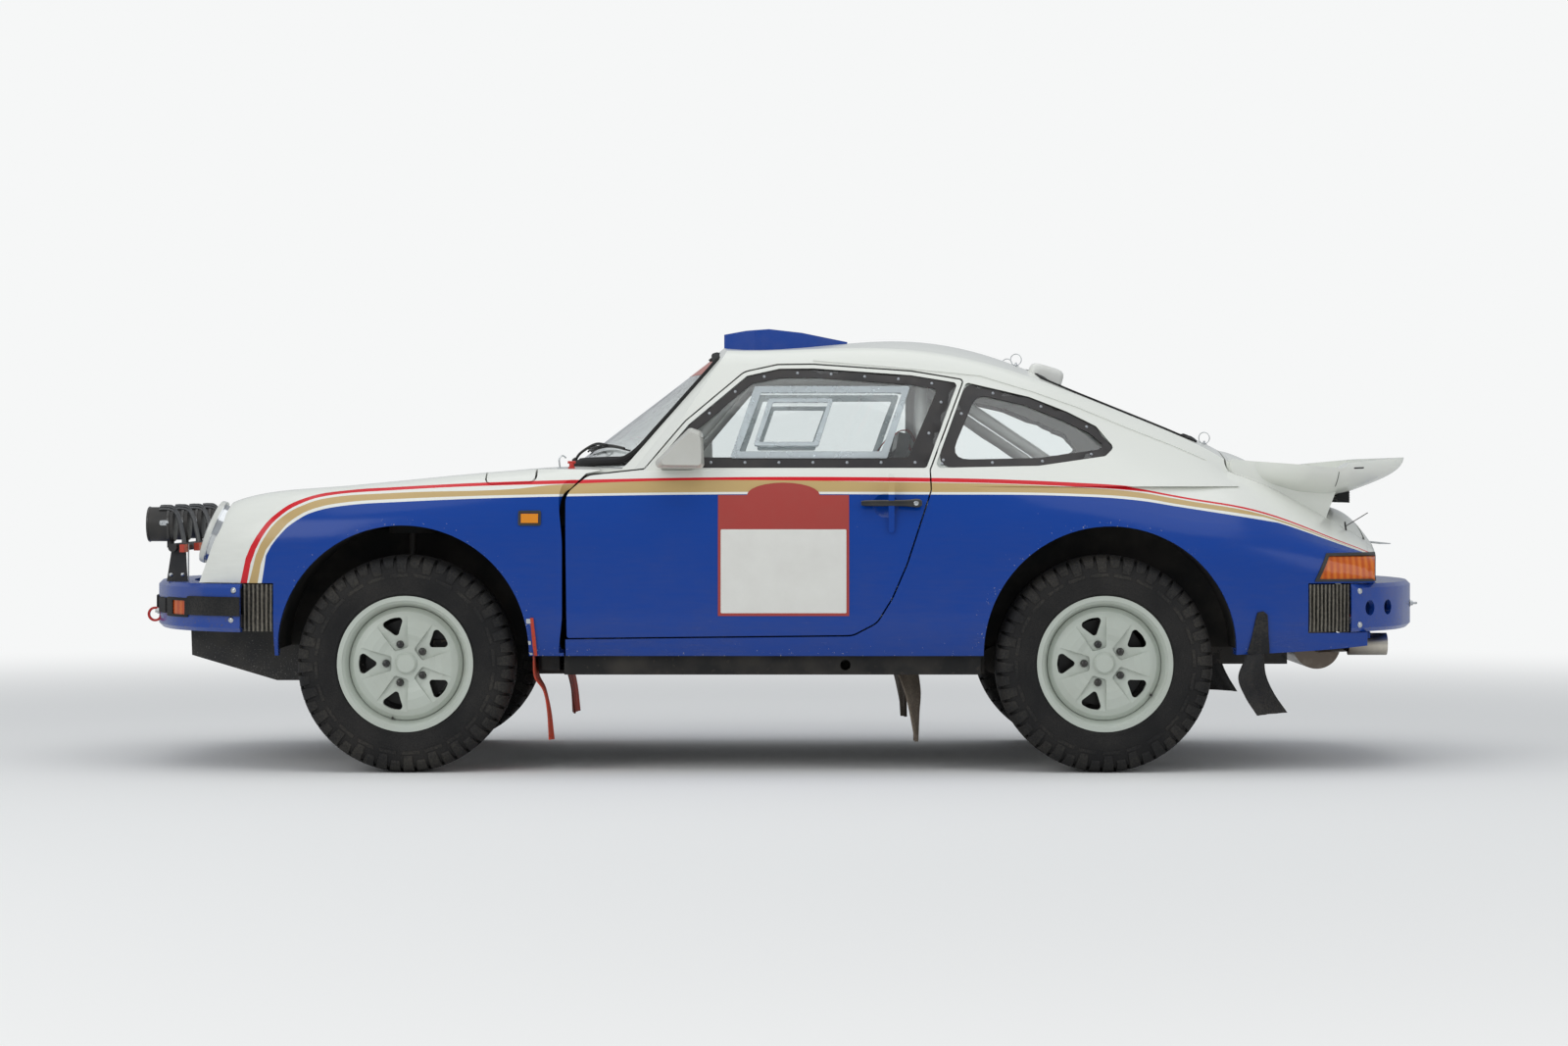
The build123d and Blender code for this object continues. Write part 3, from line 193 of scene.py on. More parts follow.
def livery_paint():
    material, tree, shader = new_material("two pack enamel livery", Roughness=0.2, IOR=1.45,
                                          Specular_IOR_Level=0.35)
    position = place(tree)
    axes = split(tree, position)
    x = maths(tree, "MULTIPLY_ADD", axes[0], 1 / (2 * span), 0.5)
    inboard = maths(tree, "MAXIMUM", maths(tree, "SUBTRACT", 0.70, maths(tree, "ABSOLUTE", axes[1])), 0.0)
    ahead = maths(tree, "MAXIMUM", maths(tree, "SUBTRACT", -1.5, axes[0]), 0.0)
    crown = maths(tree, "MAXIMUM", maths(tree, "MULTIPLY_ADD", ahead, -0.45, inboard), 0.0)
    height = maths(tree, "MULTIPLY_ADD", crown, 0.8, axes[2])
    edges = [band_edge(tree, x, points) for points in (RED_HIGH, RED_LOW, GOLD_HIGH, GOLD_LOW, BLUE_TOP)]
    below = [maths(tree, "LESS_THAN", height, edge) for edge in edges]
    colour = linear("#e9ebe4")
    for share, paint in zip(below, ("#d5202c", "#e9ebe4", "#c4a873", "#e9ebe4", "#003e98")):
        colour = blend_colours(tree, share, colour, linear(paint))
    film = noise(tree, position, 160, 8.0, Roughness=0.62)
    streaks = add_node(tree, "ShaderNodeMapping", {"Scale": (3.0, 3.0, 22.0)}, {"Vector": position})
    wiped = noise(tree, streaks.outputs[0], 300, 6.0)
    low = remap(tree, axes[2], 0.95, 0.36, 0.02, 0.5)
    dust = maths(tree, "MULTIPLY", maths(tree, "MULTIPLY", film, low), wiped)
    colour = blend_colours(tree, dust, colour, linear("#5e574d"))
    rim = remap(tree, from_axle(tree, axes, 0.39), 0.47, 0.41, 0.0, 0.11)
    sill = remap(tree, axes[2], 0.46, 0.38, 0.0, 0.1)
    stone = noise(tree, position, 7, 3.0, Roughness=0.55)
    hits = maths(tree, "ADD", stone, maths(tree, "MAXIMUM", rim, sill))
    chipped = maths(tree, "GREATER_THAN", hits, 0.79)
    colour = blend_colours(tree, chipped, colour, linear("#a9a69d"))
    tree.links.new(colour, shader.inputs["Base Color"])
    worn = maths(tree, "MAXIMUM", dust, maths(tree, "MULTIPLY", chipped, 0.6))
    tree.links.new(remap(tree, worn, 0.0, 1.0, 0.16, 0.9), shader.inputs["Roughness"])
    relief(tree, shader, 0.06, 1.0, film)
    return material


livery = livery_paint()
PANELS = [
    "front_wing_left", "front_wing_right", "rear_quarter_left", "rear_quarter_right", "door_left",
    "door_right",
    "front_lid", "engine_lid", "fuel_flap", "scuttle", "roof", "rear_panel",
]
cover(livery, *PANELS)

# Tyres: all-terrain tyres of black rubber on 16 inch rims, moulded with deep tread blocks.
# Centre blocks lean into each other, and the shoulder lugs run down the sidewall, long and short by turns.
# Gravel dust and painted highlight make the lugs greyer than the sidewall, which stays a dull black.
def rubber(name, clean, dusty, grain_mm):
    material, tree, shader = new_material(name, Roughness=0.7, Specular_IOR_Level=0.35)
    position = place(tree)
    grain = noise(tree, position, grain_mm, 6.0)
    dust = maths(tree, "MULTIPLY", grain, noise(tree, position, 140, 4.0))
    tint(tree, shader, remap(tree, dust, 0.18, 0.42), clean, dusty)
    relief(tree, shader, 0.25, 0.4, grain)
    return material


def ring_faces(rings, count, closed=False, capped=False):
    """Quads between one ring of points and the next, with an end face on the first and last if capped."""
    faces = []
    for i in range(rings if closed else rings - 1):
        a, b = i * count, (i + 1) % rings * count
        faces += [(a + k, a + (k + 1) % count, b + (k + 1) % count, b + k) for k in range(count)]
    if capped:
        faces += [tuple(range(count)), tuple((rings - 1) * count + k for k in range(count))]
    return faces


def mesh_piece(name, verts, faces, material):
    mesh = bpy.data.meshes.new(name)
    mesh.from_pydata([tuple(v) for v in verts], [], faces)
    mesh.validate()
    bm = bmesh.new()
    bm.from_mesh(mesh)
    bmesh.ops.remove_doubles(bm, verts=bm.verts, dist=1e-6)
    bmesh.ops.recalc_face_normals(bm, faces=bm.faces)
    bm.to_mesh(mesh)
    bm.free()
    mesh.materials.append(material)
    mesh.shade_smooth()
    mesh.set_sharp_from_angle(angle=math.radians(35))
    piece = bpy.data.objects.new(name, mesh)
    bpy.context.scene.collection.objects.link(piece)
    return piece


tyre_rubber = rubber("moulded tyre rubber", "#0b0b0c", "#262422", 3.0)
# The lug rubber is paler than the carcass, partly as dust and partly as painted highlight on the lug tops.
lug_rubber_dust_and_highlight = rubber("lug rubber with dust and painted highlight", "#141415", "#37342f", 5.0)
pitches = 48
CARCASS = [
    (342, 0), (342, 30), (341.5, 55), (339, 74), (333, 87), (322, 94.5), (306, 98.5), (288, 101), (270, 102),
    (250, 100), (234, 97.5), (229, 98.5), (225, 96), (222, 92), (215, 82),
]


def carcass_point(s):
    travelled = 0.0
    for (r0, y0), (r1, y1) in zip(CARCASS, CARCASS[1:]):
        step = math.hypot(r1 - r0, y1 - y0)
        if travelled + step >= s or (r1, y1) == CARCASS[-1]:
            k = (s - travelled) / step
            along = ((r1 - r0) / step, (y1 - y0) / step)
            return r0 + (r1 - r0) * k, y0 + (y1 - y0) * k, along[1], -along[0]
        travelled += step


def on_tyre(s, angle, height):
    r, y, out_r, out_y = carcass_point(abs(s))
    r, y = r + out_r * height, y + out_y * height
    y = -y if s < 0 else y
    return Vector((r * math.cos(angle), y, r * math.sin(angle))) * MM


def lug(verts, faces, start, end, centre, half_width, height, steps, lean=0.0):
    """One tread block from start to end across the tyre, centre and half width in degrees and millimetres."""
    first = len(verts)
    for k in range(steps + 1):
        t = k / steps
        s = start + (end - start) * t
        r = carcass_point(abs(s))[0]
        middle = math.radians(centre + lean * (t - 0.5))
        rise = height(t)
        for offset, up in ((-half_width(t), -1.0), (-half_width(t) + 1.6, rise), (half_width(t) - 1.6, rise),
                           (half_width(t), -1.0)):
            verts.append(on_tyre(s, middle + offset / r, up))
    for k in range(steps):
        a, b = first + 4 * k, first + 4 * (k + 1)
        for i in range(3):
            faces.append((a + i, a + i + 1, b + i + 1, b + i))
    faces.append((first, first + 1, first + 2, first + 3))
    last = first + 4 * steps
    faces.append((last, last + 1, last + 2, last + 3))


def tyre_mesh():
    around = 144
    length = sum(math.hypot(b[0] - a[0], b[1] - a[1]) for a, b in zip(CARCASS, CARCASS[1:]))
    stations = [length * k / 30 for k in range(-30, 31)]
    verts = [on_tyre(s, math.tau * k / around, 0.0) for s in stations for k in range(around)]
    return verts, ring_faces(len(stations), around)


def tread_mesh():
    verts, faces = [], []
    depth = 12.0
    for k in range(pitches):
        at = 360 / pitches * k
        half = 360 / pitches / 2
        for side in (1, -1):
            shift = 0 if side > 0 else half
            lug(verts, faces, side * 4, side * 26, at + shift, lambda t: 15.5 + 3 * t, lambda t: depth, 2,
                side * 3.2)
            lug(verts, faces, side * 31, side * 52, at + shift + half, lambda t: 19 - 2 * t,
                lambda t: depth - 0.3, 2, -side * 2.4)
            long_lug = k % 2 == 0
            end = 126 if long_lug else 110
            lug(
                verts, faces, side * 57, side * end, at + shift * 0.5,
                lambda t: 19 - 5 * t * t,
                lambda t: (depth - 0.5) * (1 - 0.62 * min(1, t * 1.3)) * (1 if t < 1 else 0.3), 8)
            if long_lug:
                lug(verts, faces, side * 130, side * 140, at + half, lambda t: 30, lambda t: 1.6, 2)
    return verts, faces


WHEEL_PLACES = [
    ("front_left", "front_tyre_left", "front_left_wheel"),
    ("front_right", "front_tyre_right", "front_right_wheel"),
    ("rear_left", "rear_tyre_left", "rear_left_wheel"),
    ("rear_right", "rear_tyre_right", "rear_right_wheel"),
]


def node_centre(name):
    low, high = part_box(name)
    return (low + high) / 2


TYRE_PARTS = [("tyre", tyre_mesh(), tyre_rubber), ("tread", tread_mesh(), lug_rubber_dust_and_highlight)]
for place_name, node, body in WHEEL_PLACES:
    middle = node_centre(node)
    for part, (verts, faces), compound in TYRE_PARTS:
        tyre = mesh_piece(f"{place_name}_{part}", [v + middle for v in verts], faces, compound)
        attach(tyre, body)
        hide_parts(node)

# Number panels: blank rally plates on both doors, printed vinyl on a thin magnetic sheet.
# A red header with a low arch stands over a white field, and a red margin runs round it.
def rounded(points, radius, steps=5):
    outline = []
    count = len(points)
    for i in range(count):
        before, corner, after = Vector(points[i - 1]), Vector(points[i]), Vector(points[(i + 1) % count])
        to_before, to_after = (before - corner).normalized(), (after - corner).normalized()
        half = to_before.angle(to_after) / 2
        reach = min(radius / math.tan(half), (before - corner).length * 0.45, (after - corner).length * 0.45)
        start, end = corner + to_before * reach, corner + to_after * reach
        for k in range(steps + 1):
            t = k / steps
            outline.append(tuple(start * (1 - t) ** 2 + corner * 2 * t * (1 - t) + end * t * t))
    return outline


def surface_of(*names):
    verts, faces = [], []
    for name in names:
        mesh = cad_nodes[name].data
        first = len(verts)
        verts += [v.co.copy() for v in mesh.vertices]
        faces += [[first + i for i in polygon.vertices] for polygon in mesh.polygons]
    return BVHTree.FromPolygons(verts, faces)


def inside(point, outline):
    x, y = point
    crossings = False
    for (x0, y0), (x1, y1) in zip(outline, outline[1:] + outline[:1]):
        if (y0 > y) != (y1 > y) and x < (x1 - x0) * (y - y0) / (y1 - y0) + x0:
            crossings = not crossings
    return crossings


def flat_cells(outline, holes, spacing):
    loops = [outline, *holes]
    points, edges = [], []
    for corners in loops:
        loop = []
        for a, b in zip(corners, corners[1:] + corners[:1]):
            parts = max(1, math.ceil((Vector(b) - Vector(a)).length / spacing))
            loop += [tuple(Vector(a).lerp(Vector(b), k / parts)) for k in range(parts)]
        first = len(points)
        points += [Vector(p) for p in loop]
        edges += [(first + i, first + (i + 1) % len(loop)) for i in range(len(loop))]
    low_x, high_x = min(p[0] for p in outline), max(p[0] for p in outline)
    low_y, high_y = min(p[1] for p in outline), max(p[1] for p in outline)
    for i in range(1, int((high_x - low_x) / spacing)):
        for j in range(1, int((high_y - low_y) / spacing)):
            p = (low_x + i * spacing, low_y + j * spacing)
            if inside(p, outline) and not any(inside(p, hole) for hole in holes):
                points.append(Vector(p))
    flat, _, faces, *_ = geometry.delaunay_2d_cdt(points, edges, [], 1, 1e-5)
    middle = [sum((flat[i] for i in face), Vector((0, 0))) / len(face) for face in faces]
    kept = [f for f, m in zip(faces, middle) if inside(m, outline) and not any(inside(m, h) for h in holes)]
    return flat, kept


def grid(columns, rows):
    step = rows + 1
    return [(i * step + j, i * step + j + 1, (i + 1) * step + j + 1, (i + 1) * step + j)
            for i in range(columns) for j in range(rows)]


def sheet(outer, inner, cells):
    """A thin sheet: its outer cells, the same turned over inside, and a wall along its open edges."""
    count = len(outer)
    faces = [tuple(c) for c in cells] + [tuple(count + i for i in reversed(c)) for c in cells]
    directed = {(c[i], c[(i + 1) % len(c)]) for c in cells for i in range(len(c))}
    faces += [(b, a, a + count, b + count) for a, b in directed if (b, a) not in directed]
    return outer + inner, faces


def ray_from(direction, p):
    """Start in metres and heading of a ray that meets the car at flat point p, in millimetres."""
    start, heading = {
        "left": ((p[0], -1400, p[1]), (0, 1, 0)),
        "right": ((p[0], 1400, p[1]), (0, -1, 0)),
        "front": ((-2600, p[0], p[1]), (1, 0, 0)),
        "top": ((p[0], p[1], 2600), (0, 0, -1)),
    }[direction]
    return Vector(start) * MM, Vector(heading)


def drape(outline, holes, surface, direction, lift, thickness, spacing):
    """Lays a flat outline, in millimetres, on a surface met from the left, right, front or top."""
    flat, cells = flat_cells(outline, holes, spacing)
    outer, inner = [], []
    reach = None
    for p in flat:
        origin, heading = ray_from(direction, p)
        hit, normal, *_ = surface.ray_cast(origin, heading)
        if hit is None:
            hit = surface.find_nearest(origin + heading * (reach or 1.0))[0]
            normal = -heading
        reach = (hit - origin).dot(heading)
        if normal.dot(heading) > 0:
            normal = -normal
        outer.append(hit + normal * (lift + thickness) * MM)
        inner.append(hit + normal * lift * MM)
    return sheet(outer, inner, cells)


def laid(name, outline, holes, surface, direction, lift, thickness, spacing, material, body):
    piece = mesh_piece(name, *drape(outline, holes, surface, direction, lift, thickness, spacing), material)
    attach(piece, body)
    return piece


def rectangle(x0, y0, x1, y1):
    return [(x0, y0), (x1, y0), (x1, y1), (x0, y1)]


SIDES = [("left", "left_door"), ("right", "right_door")]
panel_x = (-214, 211)
panel_z = (511, 902)
header_z = 791
arch_top = 942
margin = 9
arch = [(-2 + 118 * math.cos(math.pi * k / 12), 902 + (arch_top - 902) * math.sin(math.pi * k / 12))
        for k in range(13)]
plate_outline = [(panel_x[0], panel_z[0]), (panel_x[1], panel_z[0]), (panel_x[1], panel_z[1]), *arch,
                 (panel_x[0], panel_z[1])]
field = rectangle(panel_x[0] + margin, panel_z[0] + margin, panel_x[1] - margin, header_z)


def vinyl(name, colour, rough=0.35):
    material, tree, shader = new_material(name, Roughness=rough)
    grime = maths(tree, "MULTIPLY", noise(tree, place(tree), 60, 5.0), 0.16)
    tint(tree, shader, grime, colour, "#7d6f5f")
    return material


red_vinyl = vinyl("red printed vinyl", "#a93630")
white_vinyl = vinyl("white printed vinyl", "#e6e6e0")
for side, body in SIDES:
    skin = surface_of(f"door_{side}")
    laid(f"number_plate_{side}", plate_outline, [], skin, side, 0.8, 0.8, 12, red_vinyl, body)
    laid(f"number_field_{side}", rounded(field, 4), [], skin, side, 1.8, 0.8, 12, white_vinyl, body)

# Side windows: riveted polycarbonate panes with a black painted margin.
# The door pane carries a framed sliding hatch, and the rear quarter pane is plain.
def clear_sheet(name, colour, rough, ior):
    material, tree, shader = new_material(name, Transmission_Weight=1.0, IOR=ior)
    haze = remap(tree, noise(tree, place(tree), 35, 8.0), 0.45, 0.8, rough, rough * 4)
    tree.links.new(haze, shader.inputs["Roughness"])
    shader.inputs["Base Color"].default_value = linear(colour)
    return material


polycarbonate = clear_sheet("scuffed polycarbonate", "#f3f7f7", 0.004, 1.58)
frame_plastic = clear_sheet("moulded clear frame plastic", "#dfe7ea", 0.12, 1.49)
frame_plastic.node_tree.nodes["Principled BSDF"].inputs["Transmission Weight"].default_value = 0.55
black_margin = vinyl("black window paint", "#16181d", 0.3)
rivet_steel, _, rivet_shader = new_material("zinc plated rivet", Metallic=1.0, Roughness=0.35)
rivet_shader.inputs["Base Color"].default_value = linear("#a4a8ac")

DOOR_PANE = [(-430, 991), (-312, 1133), (-122, 1294), (-15, 1318), (97, 1319), (418, 1296), (572, 1271),
             (464, 991)]
DOOR_CLEAR = [(-362, 1024), (-286, 1114), (-106, 1268), (-8, 1287), (97, 1288), (412, 1265), (505, 1250),
              (405, 1024)]
QUARTER_PANE = [(492, 991), (832, 998), (1055, 1030), (1086, 1058), (1030, 1128), (935, 1176), (809, 1225),
                (600, 1273)]
QUARTER_CLEAR = [(538, 1016), (832, 1022), (1036, 1050), (1050, 1066), (1006, 1104), (915, 1148),
                 (795, 1196), (634, 1233)]
HATCH_FRAME = [(-96, 1258), (415, 1258), (336, 1020), (-176, 1020)]
HATCH_OPEN = [(-76, 1236), (388, 1236), (318, 1042), (-146, 1042)]
HATCH_SLIDER = [(-50, 1216), (162, 1216), (112, 1060), (-100, 1060)]
HATCH_GLASS = [(-36, 1204), (146, 1204), (98, 1072), (-82, 1072)]


def between(outline, other, spacing):
    """Points a set distance apart along the line halfway between two like outlines."""
    line = [(Vector(a) + Vector(b)) / 2 for a, b in zip(outline, other)]
    points, left = [], 0.0
    for a, b in zip(line, line[1:] + line[:1]):
        length = (b - a).length
        while left < length:
            points.append(tuple(a + (b - a) * left / length))
            left += spacing
        left -= length
    return points


def dome(radius, height, steps=10):
    verts, faces = [Vector((0, 0, height))], []
    for ring, (r, h) in enumerate([(0.55, 0.82), (0.9, 0.4), (1.0, 0.0)]):
        verts += [Vector((radius * r * math.cos(math.tau * k / steps),
                          radius * r * math.sin(math.tau * k / steps), height * h)) for k in range(steps)]
    faces += [(0, 1 + k, 1 + (k + 1) % steps) for k in range(steps)]
    for ring in (0, 1):
        a, b = 1 + ring * steps, 1 + (ring + 1) * steps
        faces += [(a + k, b + k, b + (k + 1) % steps, a + (k + 1) % steps) for k in range(steps)]
    return verts, faces


def studs(points, surface, side, lift, shape):
    """Sets a small shape on a side of the car at each point (x, z), along the surface's normal."""
    verts, faces = [], []
    heading = Vector((0, 1 if side == "left" else -1, 0))
    for x, z in points:
        hit, normal, *_ = surface.ray_cast(Vector((x, 0, z)) * MM - heading * 3, heading)
        if hit is None:
            continue
        normal = -normal if normal.dot(heading) > 0 else normal
        turn = normal.to_track_quat("Z", "Y").to_matrix()
        first = len(verts)
        verts += [hit + normal * lift * MM + turn @ (v * MM) for v in shape[0]]
        faces += [tuple(first + i for i in f) for f in shape[1]]
    return verts, faces


rivet = dome(5.5, 3.0)
glazing = surface_of("fixed_windows")
for side, body in SIDES:
    door_skin = surface_of(f"door_window_{side}")
    for name, skin, outer, clear, owner, gap, corner in [
        ("door_window", door_skin, DOOR_PANE, DOOR_CLEAR, body, 111, 14),
        ("quarter_window", glazing, QUARTER_PANE, QUARTER_CLEAR, "body", 165, 45),
    ]:
        laid(f"{name}_margin_{side}", rounded(outer, corner), [rounded(clear, corner)], skin, side,
             0.2, 2.2, 25, black_margin, owner)
        rivets = mesh_piece(f"{name}_rivets_{side}",
                            *studs(between(outer, clear, gap), skin, side, 2.2, rivet), rivet_steel)
        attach(rivets, owner)
    for name, outer, clear, depth in [("hatch_frame", HATCH_FRAME, HATCH_OPEN, 6.0),
                                      ("hatch_slider", HATCH_SLIDER, HATCH_GLASS, 9.0)]:
        laid(f"{name}_{side}", rounded(outer, 8), [rounded(clear, 5)], door_skin, side,
             0.2, depth, 25, frame_plastic, body)
cover(polycarbonate, "door_window_left", "door_window_right")
cover(polycarbonate, "fixed_windows")

# Screens: laminated glass in thick black rubber seals, front and rear.
# A faded red sun strip is stuck along the top edge of the front glass.
seal_rubber = rubber("extruded window rubber", "#101113", "#2b2a28", 2.0)
SCREEN_EDGE = [(594, 1003), (510, 1351), (349, 1373), (0, 1379), (-349, 1373), (-510, 1351), (-594, 1003),
               (0, 994)]
SCREEN_CLEAR = [(568, 1024), (490, 1332), (340, 1352), (0, 1358), (-340, 1352), (-490, 1332), (-568, 1024),
                (0, 1018)]
REAR_EDGE = [(824, 0), (857, 429), (960, 461), (1329, 439), (1381, 399), (1399, 0), (1381, -399),
             (1329, -439), (960, -461), (857, -429)]
REAR_CLEAR = [(852, 0), (880, 404), (965, 432), (1310, 412), (1352, 380), (1370, 0), (1352, -380),
              (1310, -412), (965, -432), (880, -404)]
for name, outer, clear, direction in [
    ("windscreen_seal", SCREEN_EDGE, SCREEN_CLEAR, "front"),
    ("rear_screen_seal", REAR_EDGE, REAR_CLEAR, "top"),
]:
    laid(name, rounded(outer, 40), [rounded(clear, 34)], glazing, direction, 0.2, 8.0, 30, seal_rubber,
         "body")


def seal_line(corners, surface, direction, lift):
    """Points along a closed outline, laid on a surface in metres and given back in millimetres."""
    line = []
    for a, b in zip(corners, corners[1:] + corners[:1]):
        parts = max(1, math.ceil((Vector(b) - Vector(a)).length / 40))
        for k in range(parts):
            origin, heading = ray_from(direction, Vector(a).lerp(Vector(b), k / parts))
            hit, normal, *_ = surface.ray_cast(origin, heading)
            if hit:
                line.append(hit / MM + (normal if normal.dot(heading) < 0 else -normal) * lift)
    return line


# Bumper bellows: soft black rubber folded into upright pleats between bumper and wing.
# The crests of the folds are painted pale as highlight and the valleys painted dark as shade, with grainy
# dust over both.
BELLOWS = [("front", -1765.5, -1660.8, 7), ("rear", 1702.8, 1843.5, 11)]
bellows_low, bellows_high = 458.5, 611.5
pleat_depth = 11.0


def bellows_rubber(name, x0, x1, pleats):
    material, tree, shader = new_material(name, Roughness=0.72)
    position = place(tree)
    turns = math.tau * pleats / ((x1 - x0) * MM)
    phase = -turns * x0 * MM - math.pi / 2
    # Painted highlight on the crests and painted shade in the valleys, in step with the folds of the mesh.
    crest_light_and_valley_shade = maths(tree, "SINE", maths(tree, "MULTIPLY_ADD", split(tree, position)[0], turns, phase))
    grain = noise(tree, position, 9, 6.0)
    # This share mixes the painted crest light and valley shade with dust grain.
    dust = maths(tree, "MULTIPLY_ADD", crest_light_and_valley_shade, 0.38, maths(tree, "SUBTRACT", grain, 0.15))
    tint(tree, shader, dust, "#1d1c1a", "#8d877a")
    relief(tree, shader, 0.35, 0.5, grain)
    return material


def pleated(surface, heading, x0, x1, pleats):
    columns, rows = pleats * 8, 10
    outer, inner = [], []
    for i in range(columns + 1):
        x = x0 + (x1 - x0) * i / columns
        for j in range(rows + 1):
            z = bellows_low + (bellows_high - bellows_low) * j / rows
            sway = 0.35 * math.sin(z * 0.045 + i * 0.21)
            fold = pleat_depth * (0.5 - 0.5 * math.cos(math.tau * pleats * i / columns + sway)) - pleat_depth
            fold *= 0.55 + 0.45 * math.sin(math.pi * (0.08 + 0.84 * j / rows))
            origin = Vector((x, -heading * 1400, z)) * MM
            hit = surface.ray_cast(origin, Vector((0, heading, 0)))[0] or Vector((x, -heading * 740, z)) * MM
            outer.append(hit + Vector((0, -heading, 0)) * fold * MM)
            inner.append(hit + Vector((0, heading, 0)) * 20 * MM)
    return sheet(outer, inner, grid(columns, rows))


sleeves = surface_of("bumper_bellows")
for end, x0, x1, pleats in BELLOWS:
    bellows_rubber_with_crest_light = bellows_rubber(f"dusty {end} bellows rubber", x0, x1, pleats)
    for side, heading in [("left", 1), ("right", -1)]:
        sleeve = mesh_piece(f"{end}_bellows_{side}", *pleated(sleeves, heading, x0, x1, pleats), bellows_rubber_with_crest_light)
        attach(sleeve, "body")
        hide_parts("bumper_bellows")


# Bumpers: pressed aluminium painted body blue, with a thick black rubber strip let into the face.
# Zinc plated dome screws hold each end, gravel has chipped the low edge, and the tow eye is red.
def coated_metal(name, colour, rough, chips="#55504a", chip_mm=9.0, chip_share=0.12, coat=0.5):
    material, tree, shader = new_material(name, Roughness=rough, Coat_Weight=coat, Coat_Roughness=0.12)
    position = place(tree)
    spots = noise(tree, position, chip_mm, 5.0, Roughness=0.6)
    low = remap(tree, split(tree, position)[2], 0.75, 0.30, 0.0, chip_share)
    chipped = maths(tree, "GREATER_THAN", maths(tree, "ADD", spots, low), 0.72)
    haze = remap(tree, noise(tree, position, 120, 6.0), 0.4, 0.8, 0.0, 0.16)
    base = blend_colours(tree, haze, linear(colour), linear("#8b8172"))
    tree.links.new(blend_colours(tree, chipped, base, linear(chips)), shader.inputs["Base Color"])
    relief(tree, shader, 0.15, 0.3, spots)
    return material


def painted_patch(material, colour, low, high):
    """Paints what lies in a box, in millimetres, another colour."""
    tree = material.node_tree
    shader = tree.nodes["Principled BSDF"]
    base = shader.inputs["Base Color"].links[0].from_socket
    axes = split(tree, place(tree))
    share = None
    for axis in range(3):
        for edge, operation in ((low[axis], "GREATER_THAN"), (high[axis], "LESS_THAN")):
            test = maths(tree, operation, axes[axis], edge * MM)
            share = test if share is None else maths(tree, "MULTIPLY", share, test)
    tree.links.new(blend_colours(tree, share, base, linear(colour)), shader.inputs["Base Color"])


blue_enamel = coated_metal("blue enamel on aluminium", "#003e98", 0.25, coat=0.1)
cover(blue_enamel, "rear_bumper", "roof_scoop")
front_enamel = coated_metal("blue enamel with red tow eye", "#003e98", 0.25, coat=0.1)
painted_patch(front_enamel, "#b8231c", (-2150, -325.5, 474), (-2101, -314.5, 526))
cover(front_enamel, "front_bumper")

strip_rubber = rubber("ribbed bumper rubber", "#121314", "#34322f", 5.0)
STRIP_SIDE = rectangle(-1954, 509, -1750, 571)
STRIP_FACE = [rectangle(-486, 510, -362, 560), rectangle(-278, 510, 486, 560)]
LAMP_FRAME = rectangle(-2046, 501, -1955, 564)
LAMP_WINDOW = rectangle(-2020, 509, -1967, 555)
front_face = surface_of("front_bumper", "indicator_lamps")
for side in ("left", "right"):
    laid(f"bumper_strip_{side}", rounded(STRIP_SIDE, 7), [], front_face, side,
         0.2, 8.0, 14, strip_rubber, "body")
    laid(f"indicator_frame_{side}", rounded(LAMP_FRAME, 5), [rounded(LAMP_WINDOW, 3)], front_face, side,
         0.2, 4.0, 14, strip_rubber, "body")
for number, outline in enumerate(STRIP_FACE):
    laid(f"bumper_face_strip_{number}", rounded(outline, 7), [], front_face, "front",
         0.2, 8.0, 20, strip_rubber, "body")


def tube(points, radius, sides=10, closed=False):
    path = [Vector(p) for p in points]
    count = len(path)
    verts = []
    normal = None
    for i, p in enumerate(path):
        before = path[i - 1] if i or closed else p
        after = path[(i + 1) % count] if i < count - 1 or closed else p
        heading = (after - before).normalized()
        normal = normal - heading * normal.dot(heading) if normal else heading.orthogonal()
        normal.normalize()
        across = heading.cross(normal)
        for k in range(sides):
            turn = math.tau * k / sides
            verts.append(p + (normal * math.cos(turn) + across * math.sin(turn)) * radius)
    return verts, ring_faces(count, sides, closed, capped=not closed)


def eased(points, parts=6):
    """A smooth line through the points."""
    path = [Vector(p) for p in points]
    padded_path = [path[0] * 2 - path[1], *path, path[-1] * 2 - path[-2]]
    line = []
    for a, b, c, d in zip(padded_path, padded_path[1:], padded_path[2:], padded_path[3:]):
        for k in range(parts):
            t = k / parts
            line.append((b * 2 + (c - a) * t + (a * 2 - b * 5 + c * 4 - d) * t * t
                         + (b * 3 - a - c * 3 + d) * t ** 3) / 2)
    return line + [path[-1]]


def spun(profile, steps=36):
    """Turns a profile of radius and height about Z; it closes on the axis where its ends lie there."""
    verts = [Vector((r * math.cos(math.tau * k / steps), r * math.sin(math.tau * k / steps), h))
             for r, h in profile for k in range(steps)]
    return verts, ring_faces(len(profile), steps)


def slab(outline, thickness):
    """A flat outline made a plate that stands on the XY plane."""
    count = len(outline)
    verts = [Vector((x, y, 0)) for x, y in outline] + [Vector((x, y, thickness)) for x, y in outline]
    faces = [tuple(reversed(range(count))), tuple(range(count, 2 * count))]
    faces += [(i, (i + 1) % count, count + (i + 1) % count, count + i) for i in range(count)]
    return verts, faces


def moved(shape, position, heading=(0, 0, 1), spin=0.0):
    turn = Vector(heading).to_track_quat("Z", "Y").to_matrix() @ Matrix.Rotation(spin, 3, "Z")
    return [Vector(position) + turn @ v for v in shape[0]], shape[1]


def mirrored(shape):
    return [Vector((v.x, -v.y, v.z)) for v in shape[0]], shape[1]


def fixed(name, shapes, material, body):
    verts, faces = [], []
    for shape in shapes:
        first = len(verts)
        verts += [v * MM for v in shape[0]]
        faces += [tuple(first + i for i in face) for face in shape[1]]
    piece = mesh_piece(name, verts, faces, material)
    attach(piece, body)
    return piece


